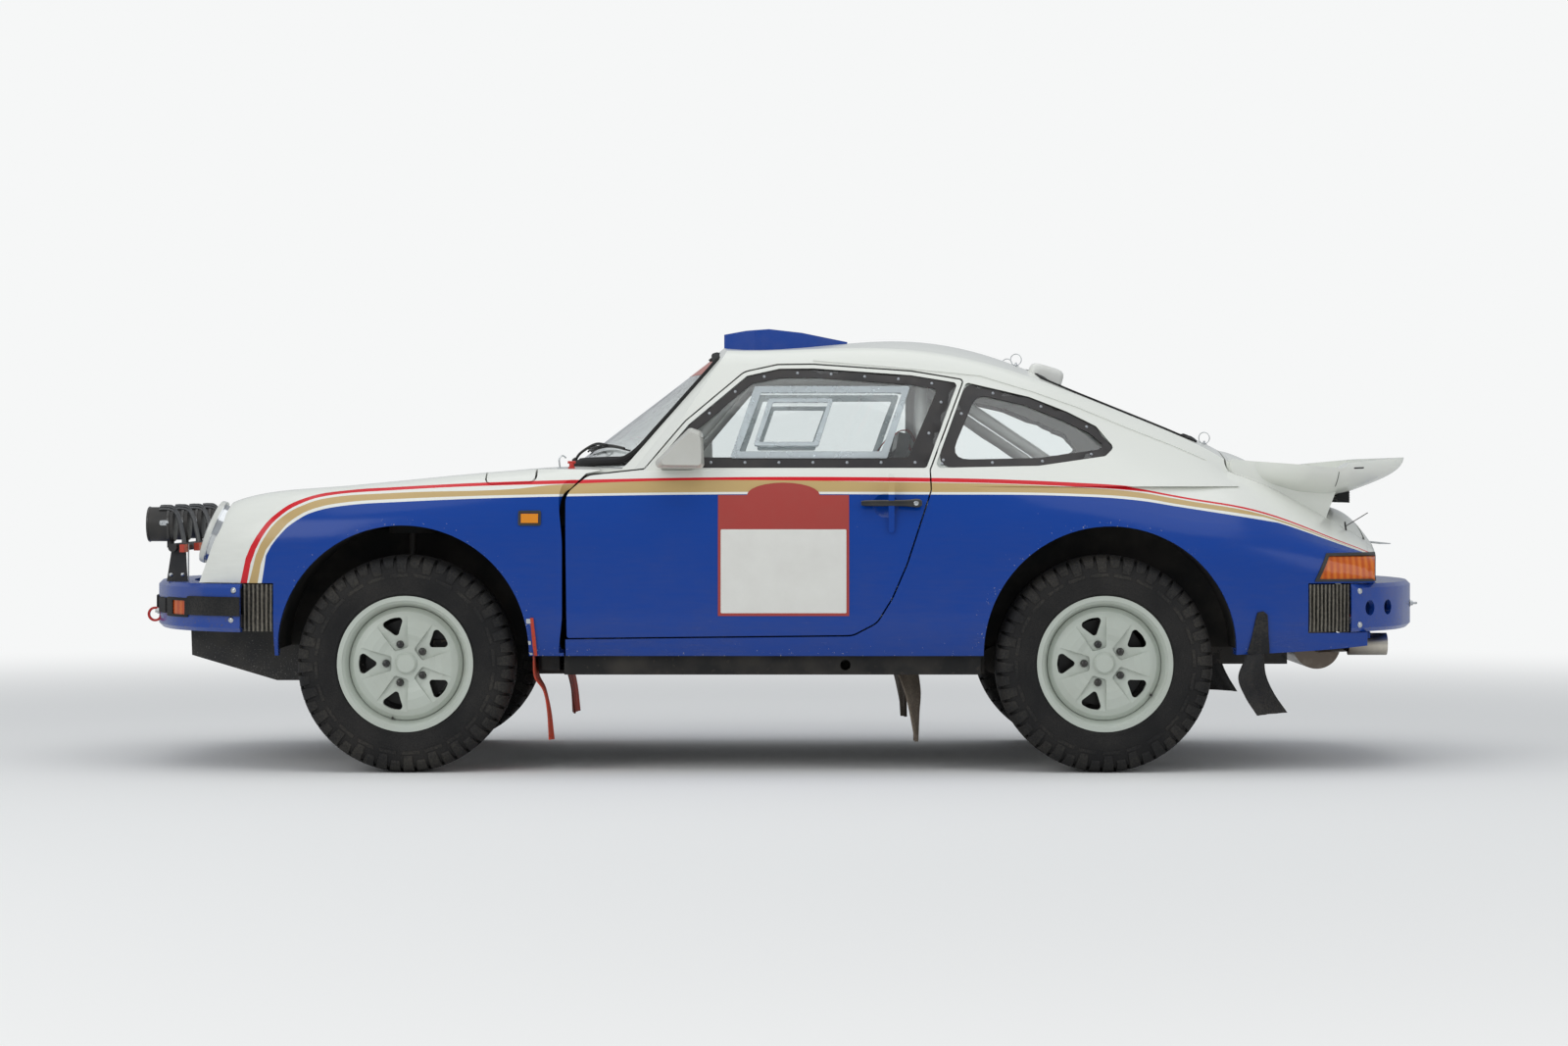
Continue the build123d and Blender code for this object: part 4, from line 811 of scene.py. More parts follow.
def plated(name, colour, rough, grain_mm):
    material, tree, shader = new_material(name, Metallic=1.0, Roughness=rough)
    grain = noise(tree, place(tree), grain_mm, 5.0)
    tint(tree, shader, maths(tree, "MULTIPLY", grain, 0.5), colour, "#6f6a62")
    tree.links.new(remap(tree, grain, 0.0, 1.0, rough * 0.7, rough * 1.5), shader.inputs["Roughness"])
    return material


zinc = plated("zinc plated steel", "#d5d9dc", 0.3, 6.0)
screw = dome(10.5, 6.0, 16)
for side in ("left", "right"):
    for end, points in [("front", [(-1788, 592), (-1797, 497)]), ("rear", [(1875, 590), (1875, 480)])]:
        skin = surface_of(f"{end}_bumper")
        verts, faces = studs(points, skin, side, 0.2, screw)
        heads = mesh_piece(f"{end}_bumper_screws_{side}", verts, faces, zinc)
        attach(heads, "body")
tow_nut = spun([(0, 14), (7, 14), (7, 7), (11, 7), (11, 0), (0, 0)], 6)
rear_pin = spun([(0, 27), (3, 26), (4, 22), (4, 12), (8, 11), (8, 4), (12, 3), (12, 0), (0, 0)], 20)
tow_pins = [moved(tow_nut, (-2100, -345, 512), (-1, 0, 0)), moved(tow_nut, (-2106, -295, 512), (-1, 0, 0))]
tow_pins += [moved(rear_pin, (2112.5, y, 536), (1, 0, 0)) for y in (-290, 290)]
fixed("tow_pins", tow_pins, zinc, "body")

# Lamp pods: four black shells on a tube, each with a clear ribbed lens and an oval fixing plate.
# Wiring leads are clipped over each shell and run down to a plug strip behind the tube.
pod_z = 804
PODS = [-450, -150, 150, 450]


def ribbed_glass(name, colour, rib_mm):
    material, tree, shader = new_material(name, Roughness=0.08, IOR=1.5, Coat_Weight=1.0, Coat_Roughness=0.03)
    ribs_and_glints = wave(tree, place(tree), rib_mm, bands_direction="Y")
    # The pale stripes along the ribs are painted highlight.
    tint(tree, shader, ribs_and_glints, colour, "#f1f3f1")
    relief(tree, shader, 0.5, 1.2, ribs_and_glints)
    return material


lamp_glass = ribbed_glass("ribbed lamp glass", "#b4bcc0", 9.0)
glossy_black = coated_metal("glossy black enamel", "#0d0e10", 0.28, "#3a3935", 6.0, 0.05, 0.4)
# The leads are black. Their grey colour and pale flecks are painted sheen.
lead_sheath_painted_grey = coated_metal("black lead sheath painted grey as sheen", "#4b4d50", 0.35, "#8a8a88", 5.0, 0.0, 0.3)
connector_red = vinyl("red moulded connector", "#c23a24", 0.4)
connector_orange = vinyl("orange moulded connector", "#d86a2a", 0.4)
lens_dome = spun([(0, 6), (20, 5.6), (36, 4.2), (46, 2), (50.5, 0), (0, 0)], 40)
bezel = spun([(51.5, -1), (57, -1), (59, 1), (59, 5), (56, 7.5), (52.5, 7), (51.5, 4), (51.5, -1)], 40)
rear_band = spun([(57, 0), (59.5, 1), (59.5, 9), (57, 10)], 40)
oval = slab(rounded(rectangle(-15, -8.5, 15, 8.5), 8, 6), 2.5)
small_screw = dome(4.2, 3.0, 12)
lamp_lenses, lamp_rims, plates, leads, red_plugs, orange_plugs = [], [], [], [], [], []
for y in PODS:
    lamp_lenses.append(moved(lens_dome, (-2106.4, y, pod_z), (-1, 0, 0)))
    lamp_rims.append(moved(bezel, (-2111, y, pod_z), (-1, 0, 0)))
    lamp_rims.append(moved(rear_band, (-2042, y, pod_z), (-1, 0, 0)))
    for side in (-1, 1):
        plates.append(moved(oval, (-2058, y + side * 56.8, pod_z + 5), (0, side, 0)))
        plates += [moved(small_screw, (-2058 + dx, y + side * 59.2, pod_z + 5), (0, side, 0))
                   for dx in (-8, 8)]
    for shift in (-34, -22, -4, 16, 30):
        top = math.sqrt(57 ** 2 - shift ** 2) + 4
        drop = 1 if shift < 0 else -1
        leads.append(tube(eased([
            (-2078, y + shift, pod_z + top), (-2058, y + shift, pod_z + top + 1),
            (-2034, y + shift, pod_z + top - 4),
            (-2018, y + shift + 3 * drop, pod_z + 20), (-2004, y + shift * 0.8, 768),
            (-2000, y + shift * 0.7, 741)]), 3.4, 8))
    for shift, plugs in ((-30, red_plugs), (0, orange_plugs), (30, red_plugs)):
        plugs.append(moved(slab(rounded(rectangle(-9, -10, 9, 10), 3), 26), (-2001, y + shift, 711)))
strip_bar = slab(rounded(rectangle(-2021, -466, -1984, 466), 4), 3)
post = tube([(-1987, 443, 613.8), (-1987, 443, 739)], 2.6, 8)
fixed("lamp_lenses", lamp_lenses, lamp_glass, "body")
fixed("lamp_rims", lamp_rims, glossy_black, "body")
fixed("lamp_plates", plates, zinc, "body")
fixed("lamp_leads", leads, lead_sheath_painted_grey, "body")
fixed("plug_strip", [moved(strip_bar, (0, 0, 738)), post, mirrored(post)], zinc, "body")
fixed("lamp_plugs_red", red_plugs, connector_red, "body")
fixed("lamp_plugs_orange", orange_plugs, connector_orange, "body")
bracket_bolts = [moved(dome(7.5, 5, 14), (x, y * 447.2, 636), (0, y, 0)) for x in (-2045, -2006)
                 for y in (1, -1)]
fixed("lamp_bracket_bolts", bracket_bolts, zinc, "body")


# Lenses: moulded acrylic, amber at the corners, with fine prisms behind the face.
# The rear lamps sit in a black moulded frame and turn red towards the middle of the car.
def lens_plastic(name, colour, prism_highlight):
    material, tree, shader = new_material(name, Roughness=0.12, IOR=1.49)
    position = place(tree)
    prisms = wave(tree, position, 11.0, Distortion=0.4)
    # The paler colour in the prisms is painted highlight.
    tint(tree, shader, maths(tree, "MULTIPLY", prisms, noise(tree, position, 70, 3.0)), colour, prism_highlight)
    relief(tree, shader, 0.3, 0.6, prisms)
    return material


amber_acrylic = lens_plastic("moulded amber acrylic", "#b8430a", "#e07a20")
painted_patch(amber_acrylic, "#e08a1c", (-870, -850, 790), (-780, 850, 860))
cover(amber_acrylic, "indicator_lamps")
rear_acrylic = lens_plastic("moulded amber and red acrylic", "#b84c08", "#e8862a")
painted_patch(rear_acrylic, "#a3140f", (1900, -585, 600), (2010, 585, 720))
cover(rear_acrylic, "rear_lamps")
moulded_black = coated_metal("moulded black plastic", "#17181a", 0.5, "#3c3a36", 4.0, 0.05, 0.0)
lamp_side = surface_of("rear_lamps", "rear_quarter_left", "rear_quarter_right", "rear_panel")
REAR_FRAME = [(1722, 621), (1764, 711), (1962, 711), (1962, 621)]
REAR_WINDOW = [(1738, 629), (1773, 702), (1956, 702), (1956, 629)]
REPEATER_FRAME = rounded(rectangle(-862, 803, -788, 851), 7)
REPEATER_WINDOW = rounded(rectangle(-854.5, 810.5, -795.5, 843.5), 4)
wing_side = surface_of("front_wing_left", "front_wing_right")
chrome = plated("chromed trim", "#dfe3e6", 0.12, 30.0)
for side in ("left", "right"):
    laid(f"rear_lamp_frame_{side}", REAR_FRAME, [REAR_WINDOW], lamp_side, side,
         0.2, 4.0, 14, moulded_black, "body")
for side in ("left", "right"):
    laid(f"repeater_frame_{side}", REPEATER_FRAME, [REPEATER_WINDOW], wing_side, side,
         0.2, 3.5, 12, moulded_black, "body")

# Headlamps: round units set into the slanted wing ends, chromed inside a painted rim.
# A domed fluted glass covers each one, with painted highlight along its flutes.
cover(chrome, "headlamps")
lamp_heading = Vector((-0.932, 0, 0.362))
lamp_dome = spun([(0, 20), (25, 19), (50, 15.5), (70, 10), (82, 4), (87.5, 0), (0, 0)], 56)
rim_ring = spun([(88, 0), (91, 5), (98, 7), (105, 4), (107, -2), (107, -12), (88, -12), (88, 0)], 56)
head_glass = ribbed_glass("fluted headlamp glass", "#aab3b6", 14.0)
rim_paint = coated_metal("white lamp rim enamel", "#cfd1cb", 0.3, "#77736a", 5.0, 0.1, 0.4)
lens_shapes, rim_shapes = [], []
for y in (-598, 598):
    lens_shapes.append(moved(lamp_dome, Vector((-1850, y, 770)) + lamp_heading * 34.3, lamp_heading))
    rim_shapes.append(moved(rim_ring, Vector((-1850, y, 770)) + lamp_heading * 34, lamp_heading))
fixed("headlamp_lenses", lens_shapes, head_glass, "body")
fixed("headlamp_rims", rim_shapes, rim_paint, "body")

# Wheels: forged five-spoke wheels sprayed in a pale grey-green, turning brown in noisy patches deeper into
# the windows.
# Black steel nuts sit beside each window, and what lies behind the spokes and deep inside the wheel is
# painted dark as shade.
def wheel_finish():
    material = coated_metal("pale wheel enamel", "#bcc3b9", 0.42, "#8d8a7e", 2.4, 0.02, 0.12)
    tree = material.node_tree
    shader = tree.nodes["Principled BSDF"]
    base = shader.inputs["Base Color"].links[0].from_socket
    axes = split(tree, place(tree))
    radius = from_axle(tree, axes, WHEEL_HEIGHT)
    depth = maths(tree, "ABSOLUTE", axes[1])
    # Painted shade: the hollows behind the spokes and deep inside the wheel are coloured dark.
    behind = maths(tree, "MULTIPLY", maths(tree, "LESS_THAN", radius, 0.143),
                   maths(tree, "LESS_THAN", depth, 0.7089))
    dark = maths(tree, "MAXIMUM", behind, maths(tree, "LESS_THAN", depth, 0.672))
    # Browner deeper into the windows, broken up by noise.
    corner = remap(tree, depth, 0.742, 0.712, 0.0, 0.55)
    inboard_brown = maths(tree, "MULTIPLY", corner, noise(tree, place(tree), 25, 5.0))
    base = blend_colours(tree, inboard_brown, base, linear("#5f5a4d"))
    tree.links.new(blend_colours(tree, dark, base, linear("#2a2623")), shader.inputs["Base Color"])
    return material


cover(wheel_finish(), "front_wheel_left", "front_wheel_right", "rear_wheel_left", "rear_wheel_right")
nut_black = coated_metal("black oxide steel", "#141414", 0.32, "#3a3a3a", 3.0, 0.0, 0.2)
hexagon = [(12 * math.cos(math.tau * k / 6), 12 * math.sin(math.tau * k / 6)) for k in range(6)]
nut_end = spun([(0, 18), (5, 17.4), (9, 15), (11, 10), (11.5, 0), (0, 0)], 20)
valve = spun([(0, 24), (3.4, 23), (4, 18), (4, 8), (5.5, 6), (5.5, 0), (0, 0)], 14)
for place_name, node, body in WHEEL_PLACES:
    centre = node_centre(node.replace("tyre", "wheel")) / MM
    centre.y = math.copysign(686 if "front" in node else 690, centre.y)
    centre.z = WHEEL_HEIGHT / MM
    out = math.copysign(1, centre.y)
    nuts = []
    for k in range(5):
        turn = math.radians(180 + 72 * k)
        spot = centre + Vector((65 * math.cos(turn), out * 44, 65 * math.sin(turn)))
        nuts += [moved(slab(hexagon, 9), spot, (0, out, 0)),
                 moved(nut_end, spot + Vector((0, out * 8, 0)), (0, out, 0))]
    fixed(f"{place_name}_nuts", nuts, nut_black, body)
    lean = math.radians(-104 if "front" in node else -34)
    spot = centre + Vector((183 * math.cos(lean), out * 40, 183 * math.sin(lean)))
    fixed(f"{place_name}_valve", [moved(valve, spot, (0, out, 0))], nut_black, body)

# Door handles: black pull levers over a pressed recess, with a bright lock barrel in the rear boss.
# The lever is a die casting with a satin black coat, with small pale rubbed flecks.
satin_black = coated_metal("satin black die casting", "#121315", 0.36, "#44423e", 5.0, 0.0, 0.25)
LEVER = [(250, 7.5, 9), (262, 9.5, 9.5), (300, 10.5, 9.5), (380, 10.5, 9.5), (410, 12, 10),
         (428, 14.5, 10.5), (440, 13, 10), (447, 8, 8)]


def lever(side):
    verts = []
    ring = 20
    for x, tall, deep in LEVER:
        for k in range(ring):
            turn = math.tau * k / ring
            z, y = math.sin(turn), math.cos(turn)
            out = side * (807 + deep * math.copysign(abs(y) ** 0.6, y))
            verts.append(Vector((x, out, HANDLE_Z + tall * math.copysign(abs(z) ** 0.75, z))))
    return verts, ring_faces(len(LEVER), ring, capped=True)


DOORS = [("left", -1, "left_door"), ("right", 1, "right_door")]
HANDLE_Z = 876
lock = spun([(0, 2.4), (5.5, 2.4), (7.5, 1.6), (8, 0), (0, 0)], 24)
for side, sign, body in DOORS:
    fixed(f"door_handle_{side}", [lever(sign)], satin_black, body)
    fixed(f"door_lock_{side}", [moved(lock, (428, sign * 817.2, HANDLE_Z), (0, sign, 0))], chrome, body)

# Door mirrors: painted die-cast pods on the doors.
# Each holds a flat silvered glass that looks to the rear.
mirror_paint = coated_metal("grey white mirror enamel", "#c6c6bf", 0.35, "#8d8a80", 3.0, 0.0, 0.3)
cover(mirror_paint, "door_mirror_left", "door_mirror_right")
silvered, silver_tree, silver_shader = new_material("silvered mirror glass", Metallic=1.0, Roughness=0.03)
smear = noise(silver_tree, place(silver_tree), 40, 4.0)
tint(silver_tree, silver_shader, smear, "#d6dadb", "#e6e9ea")
for side, sign, body in DOORS:
    corners = rounded(rectangle(-41, -49, 41, 49), 10)
    glass = moved(slab(corners, 3), (-271.5, sign * 811, 1047), (1, 0, 0))
    fixed(f"mirror_glass_{side}", [glass], silvered, body)

# Mud flaps: rubber sheets about 5 mm thick, cut by hand and bolted behind each wheel.
# The front ones are orange-red, the sill ones brown with dust, and the rear ones black.
FLAPS = [
    ("front_flap", [(379, -816, 770, -816, 575), (312, -811, 770, -812, 575), (266, -780, 770, -790, 580),
                    (200, -765, 768, -775, 585), (107, -757, 765, -765, 590)], "#c23a22", "#7a4a3a"),
    ("sill_flap",
     [(317, 372, 690, 440, 560), (250, 396, 690, 446, 570), (180, 412, 688, 440, 590),
      (95, 428, 680, 436, 600)], "#5b5046", "#83786a"),
    ("rear_flap",
     [(383, 1500, 790, 1572, 640), (313, 1471, 790, 1578, 625), (250, 1490, 786, 1604, 615),
      (186, 1528, 776, 1645, 610)], "#16171a", "#413d37"),
]


def flap(rows, side, phase):
    across, wall = 14, 4.6
    path = [[Vector(r) for r in ((x0, y0, z), (x1, y1, z))] for z, x0, y0, x1, y1 in rows]
    outer = eased([a for a, b in path], 8)
    inner = eased([b for a, b in path], 8)
    front, back = [], []
    for i, (a, b) in enumerate(zip(outer, inner)):
        low = i / (len(outer) - 1)
        for k in range(across + 1):
            p = a.lerp(b, k / across)
            p.x += low * 5 * math.sin(k * 0.55 + phase) + low * low * 4 * math.sin(k * 1.3 + phase * 2)
            p.y *= side
            front.append(p)
            back.append(p + Vector((wall, 0, 0)))
    return sheet(front, back, grid(len(outer) - 1, across))


for number, (name, rows, clean, dusty) in enumerate(FLAPS):
    sheet_rubber = rubber(f"{name.replace('_', ' ')} rubber", clean, dusty, 6.0)
    for side, sign in (("left", -1), ("right", 1)):
        piece = fixed(f"{name}_{side}", [flap(rows, sign, number + sign)], sheet_rubber, "body")
        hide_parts("mud_flaps")
strap_rubber = rubber("rear flap strap rubber", "#16171a", "#413d37", 6.0)
red_rubber = rubber("red flap strap rubber", "#c8402a", "#8d4a3a", 6.0)
quarter_side = surface_of("rear_quarter_left", "rear_quarter_right")
STRAP = [(1500, 376), (1515, 440), (1527, 500), (1533, 522), (1552, 526), (1566, 515), (1570, 450),
         (1578, 376)]
RED_STRAP = [(-822, 505), (-812, 505), (-805, 440), (-801, 384), (-812, 384), (-817, 440)]
CLAMPS = [rectangle(-835, 486.5, -817, 501.5), rectangle(-835, 418, -821, 430),
          rectangle(-832, 384.5, -816, 391.5)]
for side in ("left", "right"):
    piece = laid(f"rear_flap_strap_{side}", STRAP, [], quarter_side, side,
                 0.3, 5.5, 14, strap_rubber, "body")
    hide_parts("mud_flaps")
    laid(f"front_flap_strap_{side}", RED_STRAP, [], wing_side, side, 3.4, 4.0, 12, red_rubber, "body")
    for number, clamp in enumerate(CLAMPS):
        laid(f"flap_clamp_{number}_{side}", rounded(clamp, 2), [], wing_side, side,
             0.2, 3.2, 8, zinc, "body")

# Tail spoiler trims: a joint line and drain slot, sealed in black, on each flank of the moulded tail,
# and the black slatted air grille under its tray.
seam_black = vinyl("black joint sealer", "#1a1b1d", 0.6)
lid_side = surface_of("engine_lid")
TAIL_MARKS = [
    ("tail_slot", [(1878, 988), (1911, 989.5), (1911, 994), (1878, 992.5)]),
    ("tail_seam", [(1829, 930), (1831.4, 930), (1832.4, 978), (1830, 978)]),
]
for side in ("left", "right"):
    for name, outline in TAIL_MARKS:
        laid(f"{name}_{side}", outline, [], lid_side, side, 0.1, 0.6, 8, seam_black, "engine_cover")
slats = []
for z in range(876, 926, 8):
    slats.append(([Vector((x, y, z + dz + (1890 - x) * 0.25)) for dz in (0, 3) for x, y in [
        (1852, -400), (1894, -400), (1894, 400), (1852, 400)]], slab([(0, 0), (1, 0), (1, 1), (0, 1)], 1)[1]))
slats += [moved(slab(rectangle(-20, -26, 20, 26), 3), (1873, y, 902), (0, 1, 0))
          for y in range(-400, 401, 80)]
fixed("tail_grille", slats, moulded_black, "engine_cover")

# Screen wipers: black steel arms on two spindles, parked low across the glass, each with a rubber blade.
# A rubber bead runs round both screens, and the faded strip lies on the front one.
wiper_black = coated_metal("matt black wiper enamel", "#141517", 0.5, "#3a3935", 4.0, 0.0, 0.0)


def on_screen(y, z, lift):
    hit, normal, *_ = glazing.ray_cast(*ray_from("front", (y, z)))
    normal = -normal if normal.x > 0 else normal
    return hit / MM + normal * lift


for name, spindle, heel, reach in [("left", -150, -190, -545), ("right", 330, 300, -70)]:
    blade = [on_screen(heel + (reach - heel) * k / 12, 1042 + 14 * math.sin(math.pi * k / 12), 9)
             for k in range(13)]
    carrier = [on_screen(heel + (reach - heel) * k / 12, 1042 + 14 * math.sin(math.pi * k / 12), 16)
               for k in range(1, 12)]
    hub = on_screen(spindle, 1006, 14)
    arm = eased([hub, on_screen(spindle - 60, 1022, 28), on_screen((heel + reach) / 2 + 60, 1046, 34),
                 on_screen((heel + reach) / 2, 1055, 18)], 6)
    hub_cap = moved(spun([(0, 10), (7, 9), (9, 4), (9, -12), (0, -12)], 20), hub, (-0.6, 0, 0.8))
    fixed(f"wiper_{name}", [tube(blade, 3.2, 6), tube(carrier, 3.6, 6), tube(arm, 4.6, 8), hub_cap],
          wiper_black, "body")
SEAL_RUNS = [
    ("windscreen_bead",
     [(585, 1010), (503, 1343), (345, 1366), (0, 1372), (-345, 1366), (-503, 1343), (-585, 1010), (0, 1002)],
     "front"),
    ("rear_screen_bead",
     [(832, 0), (864, 422), (964, 453), (1322, 432), (1373, 394), (1391, 0), (1373, -394), (1322, -432),
      (964, -453), (864, -422)], "top"),
]
for name, corners, direction in SEAL_RUNS:
    thick = 9.5 if direction == "front" else 6.0
    bead = tube(seal_line(rounded(corners, 50, 8), glazing, direction, thick - 2.5), thick, 12, closed=True)
    fixed(name, [bead], seal_rubber, "body")
sun_strip = vinyl("faded red sun strip", "#c06a5c", 0.3)
STRIP_LINE = [(-478, 1303), (478, 1303), (470, 1338), (338, 1350), (0, 1356), (-338, 1350), (-470, 1338)]
laid("sun_strip", STRIP_LINE, [], glazing, "front", 0.1, 0.5, 25, sun_strip, "body")

# Cut-off switch and small fittings: a red battery key by the screen, spring clips and wire loops on roof
# and lid, and a white aerial housing at the rear edge of the roof.
top_skin = surface_of("roof", "fixed_windows", "scuttle", "front_wing_left", "front_wing_right",
                      "engine_lid", "rear_quarter_left")


def on_top(x, y, lift=0.0, skin=top_skin):
    return skin.ray_cast(*ray_from("top", (x, y)))[0] / MM + Vector((0, 0, lift))


key_red = vinyl("red moulded key", "#c8281e", 0.35)
key_foot = on_top(-700, -590)
fixed("cut_off_key", [
    moved(spun([(0, 18), (7, 18), (8, 14), (8, 6), (12, 4), (12, 0), (0, 0)], 20), key_foot),
    tube([key_foot + Vector((-13, 0, 20)), key_foot + Vector((13, 0, 20))], 4.5, 10)], key_red, "body")
bracket_foot = on_top(-738, -590)
fixed("cut_off_bracket", [
    tube(eased([bracket_foot, bracket_foot + Vector((-3, 0, 30)), bracket_foot + Vector((8, 0, 42)),
                bracket_foot + Vector((20, 0, 34))], 5), 2.6, 8),
    tube([bracket_foot + Vector((-8, 0, 0.5)), bracket_foot + Vector((44, 0, 0.5))], 3, 8)], zinc, "body")


def wire_loop(foot, radius, heading):
    circle = [Vector((radius * math.cos(math.tau * k / 20), 0,
                      radius + radius * math.sin(math.tau * k / 20))) for k in range(20)]
    turn = Matrix.Rotation(heading, 3, "Z")
    return tube([Vector(foot) + turn @ p for p in circle], 1.5, 8, closed=True)


pin = spun([(0, 13), (3, 12), (4, 8), (4, 3), (10, 2), (10, 0), (0, 0)], 18)
for number, (x, y, body, radius) in enumerate([
        (786, -250, "body", 19), (786, 250, "body", 19), (1418, -300, "body", 19), (1418, 300, "body", 19),
        (-1800, -330, "luggage_lid", 11), (-1800, 330, "luggage_lid", 11)]):
    skin = surface_of("front_lid") if body == "luggage_lid" else top_skin
    hit = on_top(x, y, 0.0, skin)
    fixed(f"lid_pin_{number}", [moved(pin, hit), wire_loop(hit + Vector((0, 0, 3)), radius, 0.2)], zinc,
          body)

aerial_white = coated_metal("white moulded housing", "#e3e4df", 0.4, "#a8a294", 6.0, 0.0, 0.1)
AERIAL = [(1.0, 0), (1.0, 30), (0.94, 42), (0.8, 49), (0.55, 52), (0.0, 53)]
aerial_verts = []
for share, height in AERIAL:
    for k in range(28):
        turn = math.tau * k / 28
        c, s = math.cos(turn), math.sin(turn)
        aerial_verts.append(Vector((60 * share * math.copysign(abs(c) ** 0.5, c),
                                    34 * share * math.copysign(abs(s) ** 0.5, s), height)))
aerial = moved((aerial_verts, ring_faces(len(AERIAL), 28)), on_top(880, -250, -8), (0.3, 0, 1), math.pi / 2)
fixed("aerial_housing", [aerial], aerial_white, "body")
whip_foot = Vector((1874, -452, 782))
fixed("tail_whip",
      [tube([whip_foot, whip_foot + Vector((-4, 0, 30))], 3, 8),
       tube([whip_foot + Vector((0, 0, 16)), whip_foot + Vector((74, 10, 60))], 1.6, 6)],
      wiper_black, "body")
GUTTER = [(97, 1349), (370, 1326), (647, 1299), (820, 1247), (970, 1195), (1130, 1129), (1293, 1066),
          (1400, 1020)]
gutter_outline = GUTTER + [(x, z - 5) for x, z in reversed(GUTTER)]
roof_skin = surface_of("roof")
for side in ("left", "right"):
    laid(f"roof_gutter_{side}", gutter_outline, [], roof_skin, side, 0.1, 4.0, 20, livery, "body")

# Roof scoop: a painted shell that leads air into the cabin.
# Its mouth is closed by a black mesh of round wire.
mesh_wire = [tube([(-196, y, 1386), (-196, y, 1434)], 1.3, 6) for y in range(-180, 181, 12)]
mesh_wire += [tube([(-196, -190, z), (-196, 190, z)], 1.3, 6) for z in range(1392, 1434, 12)]
fixed("scoop_mesh", mesh_wire, wiper_black, "body")


# Seats: fixed-back rally buckets. Foam pads under black woven cloth lie in a moulded shell,
# with sewn channels across seat and back.
def woven(name, dark, pale, thread_mm):
    material, tree, shader = new_material(name, Roughness=0.92, Sheen_Weight=0.35, Sheen_Roughness=0.5)
    position = place(tree)
    threads = [wave(tree, position, thread_mm, bands_direction=way, Distortion=0.6)
               for way in ("Y", "DIAGONAL")]
    weave = maths(tree, "MULTIPLY", *threads)
    worn = noise(tree, position, 90, 5.0)
    tint(tree, shader, maths(tree, "MULTIPLY_ADD", worn, 0.5, maths(tree, "MULTIPLY", weave, 0.4)), dark,
         pale)
    relief(tree, shader, 0.4, 0.5, weave)
    return material


seat_cloth = woven("black woven seat cloth", "#131316", "#3a3a40", 2.4)
seat_shell = coated_metal("moulded seat shell", "#1b1c1f", 0.45, "#38383a", 4.0, 0.0, 0.2)
cover(seat_shell, "seats")
SEATS = [("driver", -1), ("passenger", 1)]
SEAT_Y = 350
BOLSTER = [
    (-185, 480), (-185, 560), (60, 600), (200, 640), (255, 800), (300, 900), (352, 1000), (382, 1090),
    (408, 1080),
    (305, 452), (255, 424),
]
PADS = [
    ("cushion", [(-182, 545), (-182, 500), (228, 459), (258, 510)], 171, 529, 22, "x"),
    ("back", [(256, 530), (300, 530), (388, 1040), (336, 1052)], 181, 519, 20, "z"),
    ("bolster_outer", BOLSTER, 535.5, 571.5, 14, ""),
    ("bolster_inner", BOLSTER, 128.5, 164.5, 14, ""),
]


def pad(outline, y0, y1, round_off, channels, side):
    """A stuffed pad: its side outline drawn in towards both ends, with sewn channels across it."""
    smooth_line = []
    corners = rounded(outline, round_off * 0.8, 4)
    for a, b in zip(corners, corners[1:] + corners[:1]):
        parts = max(1, round((Vector(b) - Vector(a)).length / 9))
        smooth_line += [Vector(a).lerp(Vector(b), k / parts) for k in range(parts)]
    count, rows = len(smooth_line), 16
    area = sum(a.x * b.y - b.x * a.y for a, b in zip(smooth_line, smooth_line[1:] + smooth_line[:1]))
    verts = []
    for j in range(rows + 1):
        t = -math.cos(math.pi * j / rows)
        inset = round_off * (1 - math.sqrt(max(0.0, 1 - abs(t) ** 5)))
        for i, p in enumerate(smooth_line):
            along = smooth_line[(i + 1) % count] - smooth_line[i - 1]
            normal = Vector((along.y, -along.x)).normalized() * math.copysign(1, area)
            depth = inset + 1.5
            if channels == "x" and normal.y > 0.5:
                depth += 5 * math.exp(-((p.x + 185) % 62 - 31) ** 2 / 40)
            if channels == "z" and normal.x < -0.5:
                depth += 5 * math.exp(-((p.y - 520) % 64 - 32) ** 2 / 40)
            q = p - normal * depth
            verts.append(Vector((q.x, side * ((y0 + y1) / 2 + (y1 - y0) / 2 * t), q.y)))
    return verts, ring_faces(rows + 1, count, capped=True)


for seat_name, sign in SEATS:
    for name, outline, y0, y1, round_off, channels in PADS:
        piece = fixed(f"{seat_name}_{name}_pad", [pad(outline, y0, y1, round_off, channels, sign)],
                      seat_cloth, "body")
        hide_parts("seat_pads")

# Harness: flat woven shoulder and lap belts that lie on the seat pads.
# They meet in a round plated buckle.
belt_red = woven("red harness webbing", "#8d1a16", "#c23a30", 1.6)


def belt(points, width, thickness, side):
    path = eased([Vector((x, side * y, z)) for x, y, z in points], 6)
    verts = []
    across = Vector((0, 1, 0))
    for i, p in enumerate(path):
        heading = (path[min(i + 1, len(path) - 1)] - path[max(i - 1, 0)]).normalized()
        wide = (across - heading * across.dot(heading)).normalized()
        up = heading.cross(wide)
        for w, u in ((-1, -1), (1, -1), (1, 1), (-1, 1)):
            verts.append(p + wide * w * width / 2 + up * u * thickness / 2)
    return verts, ring_faces(len(path), 4, capped=True)


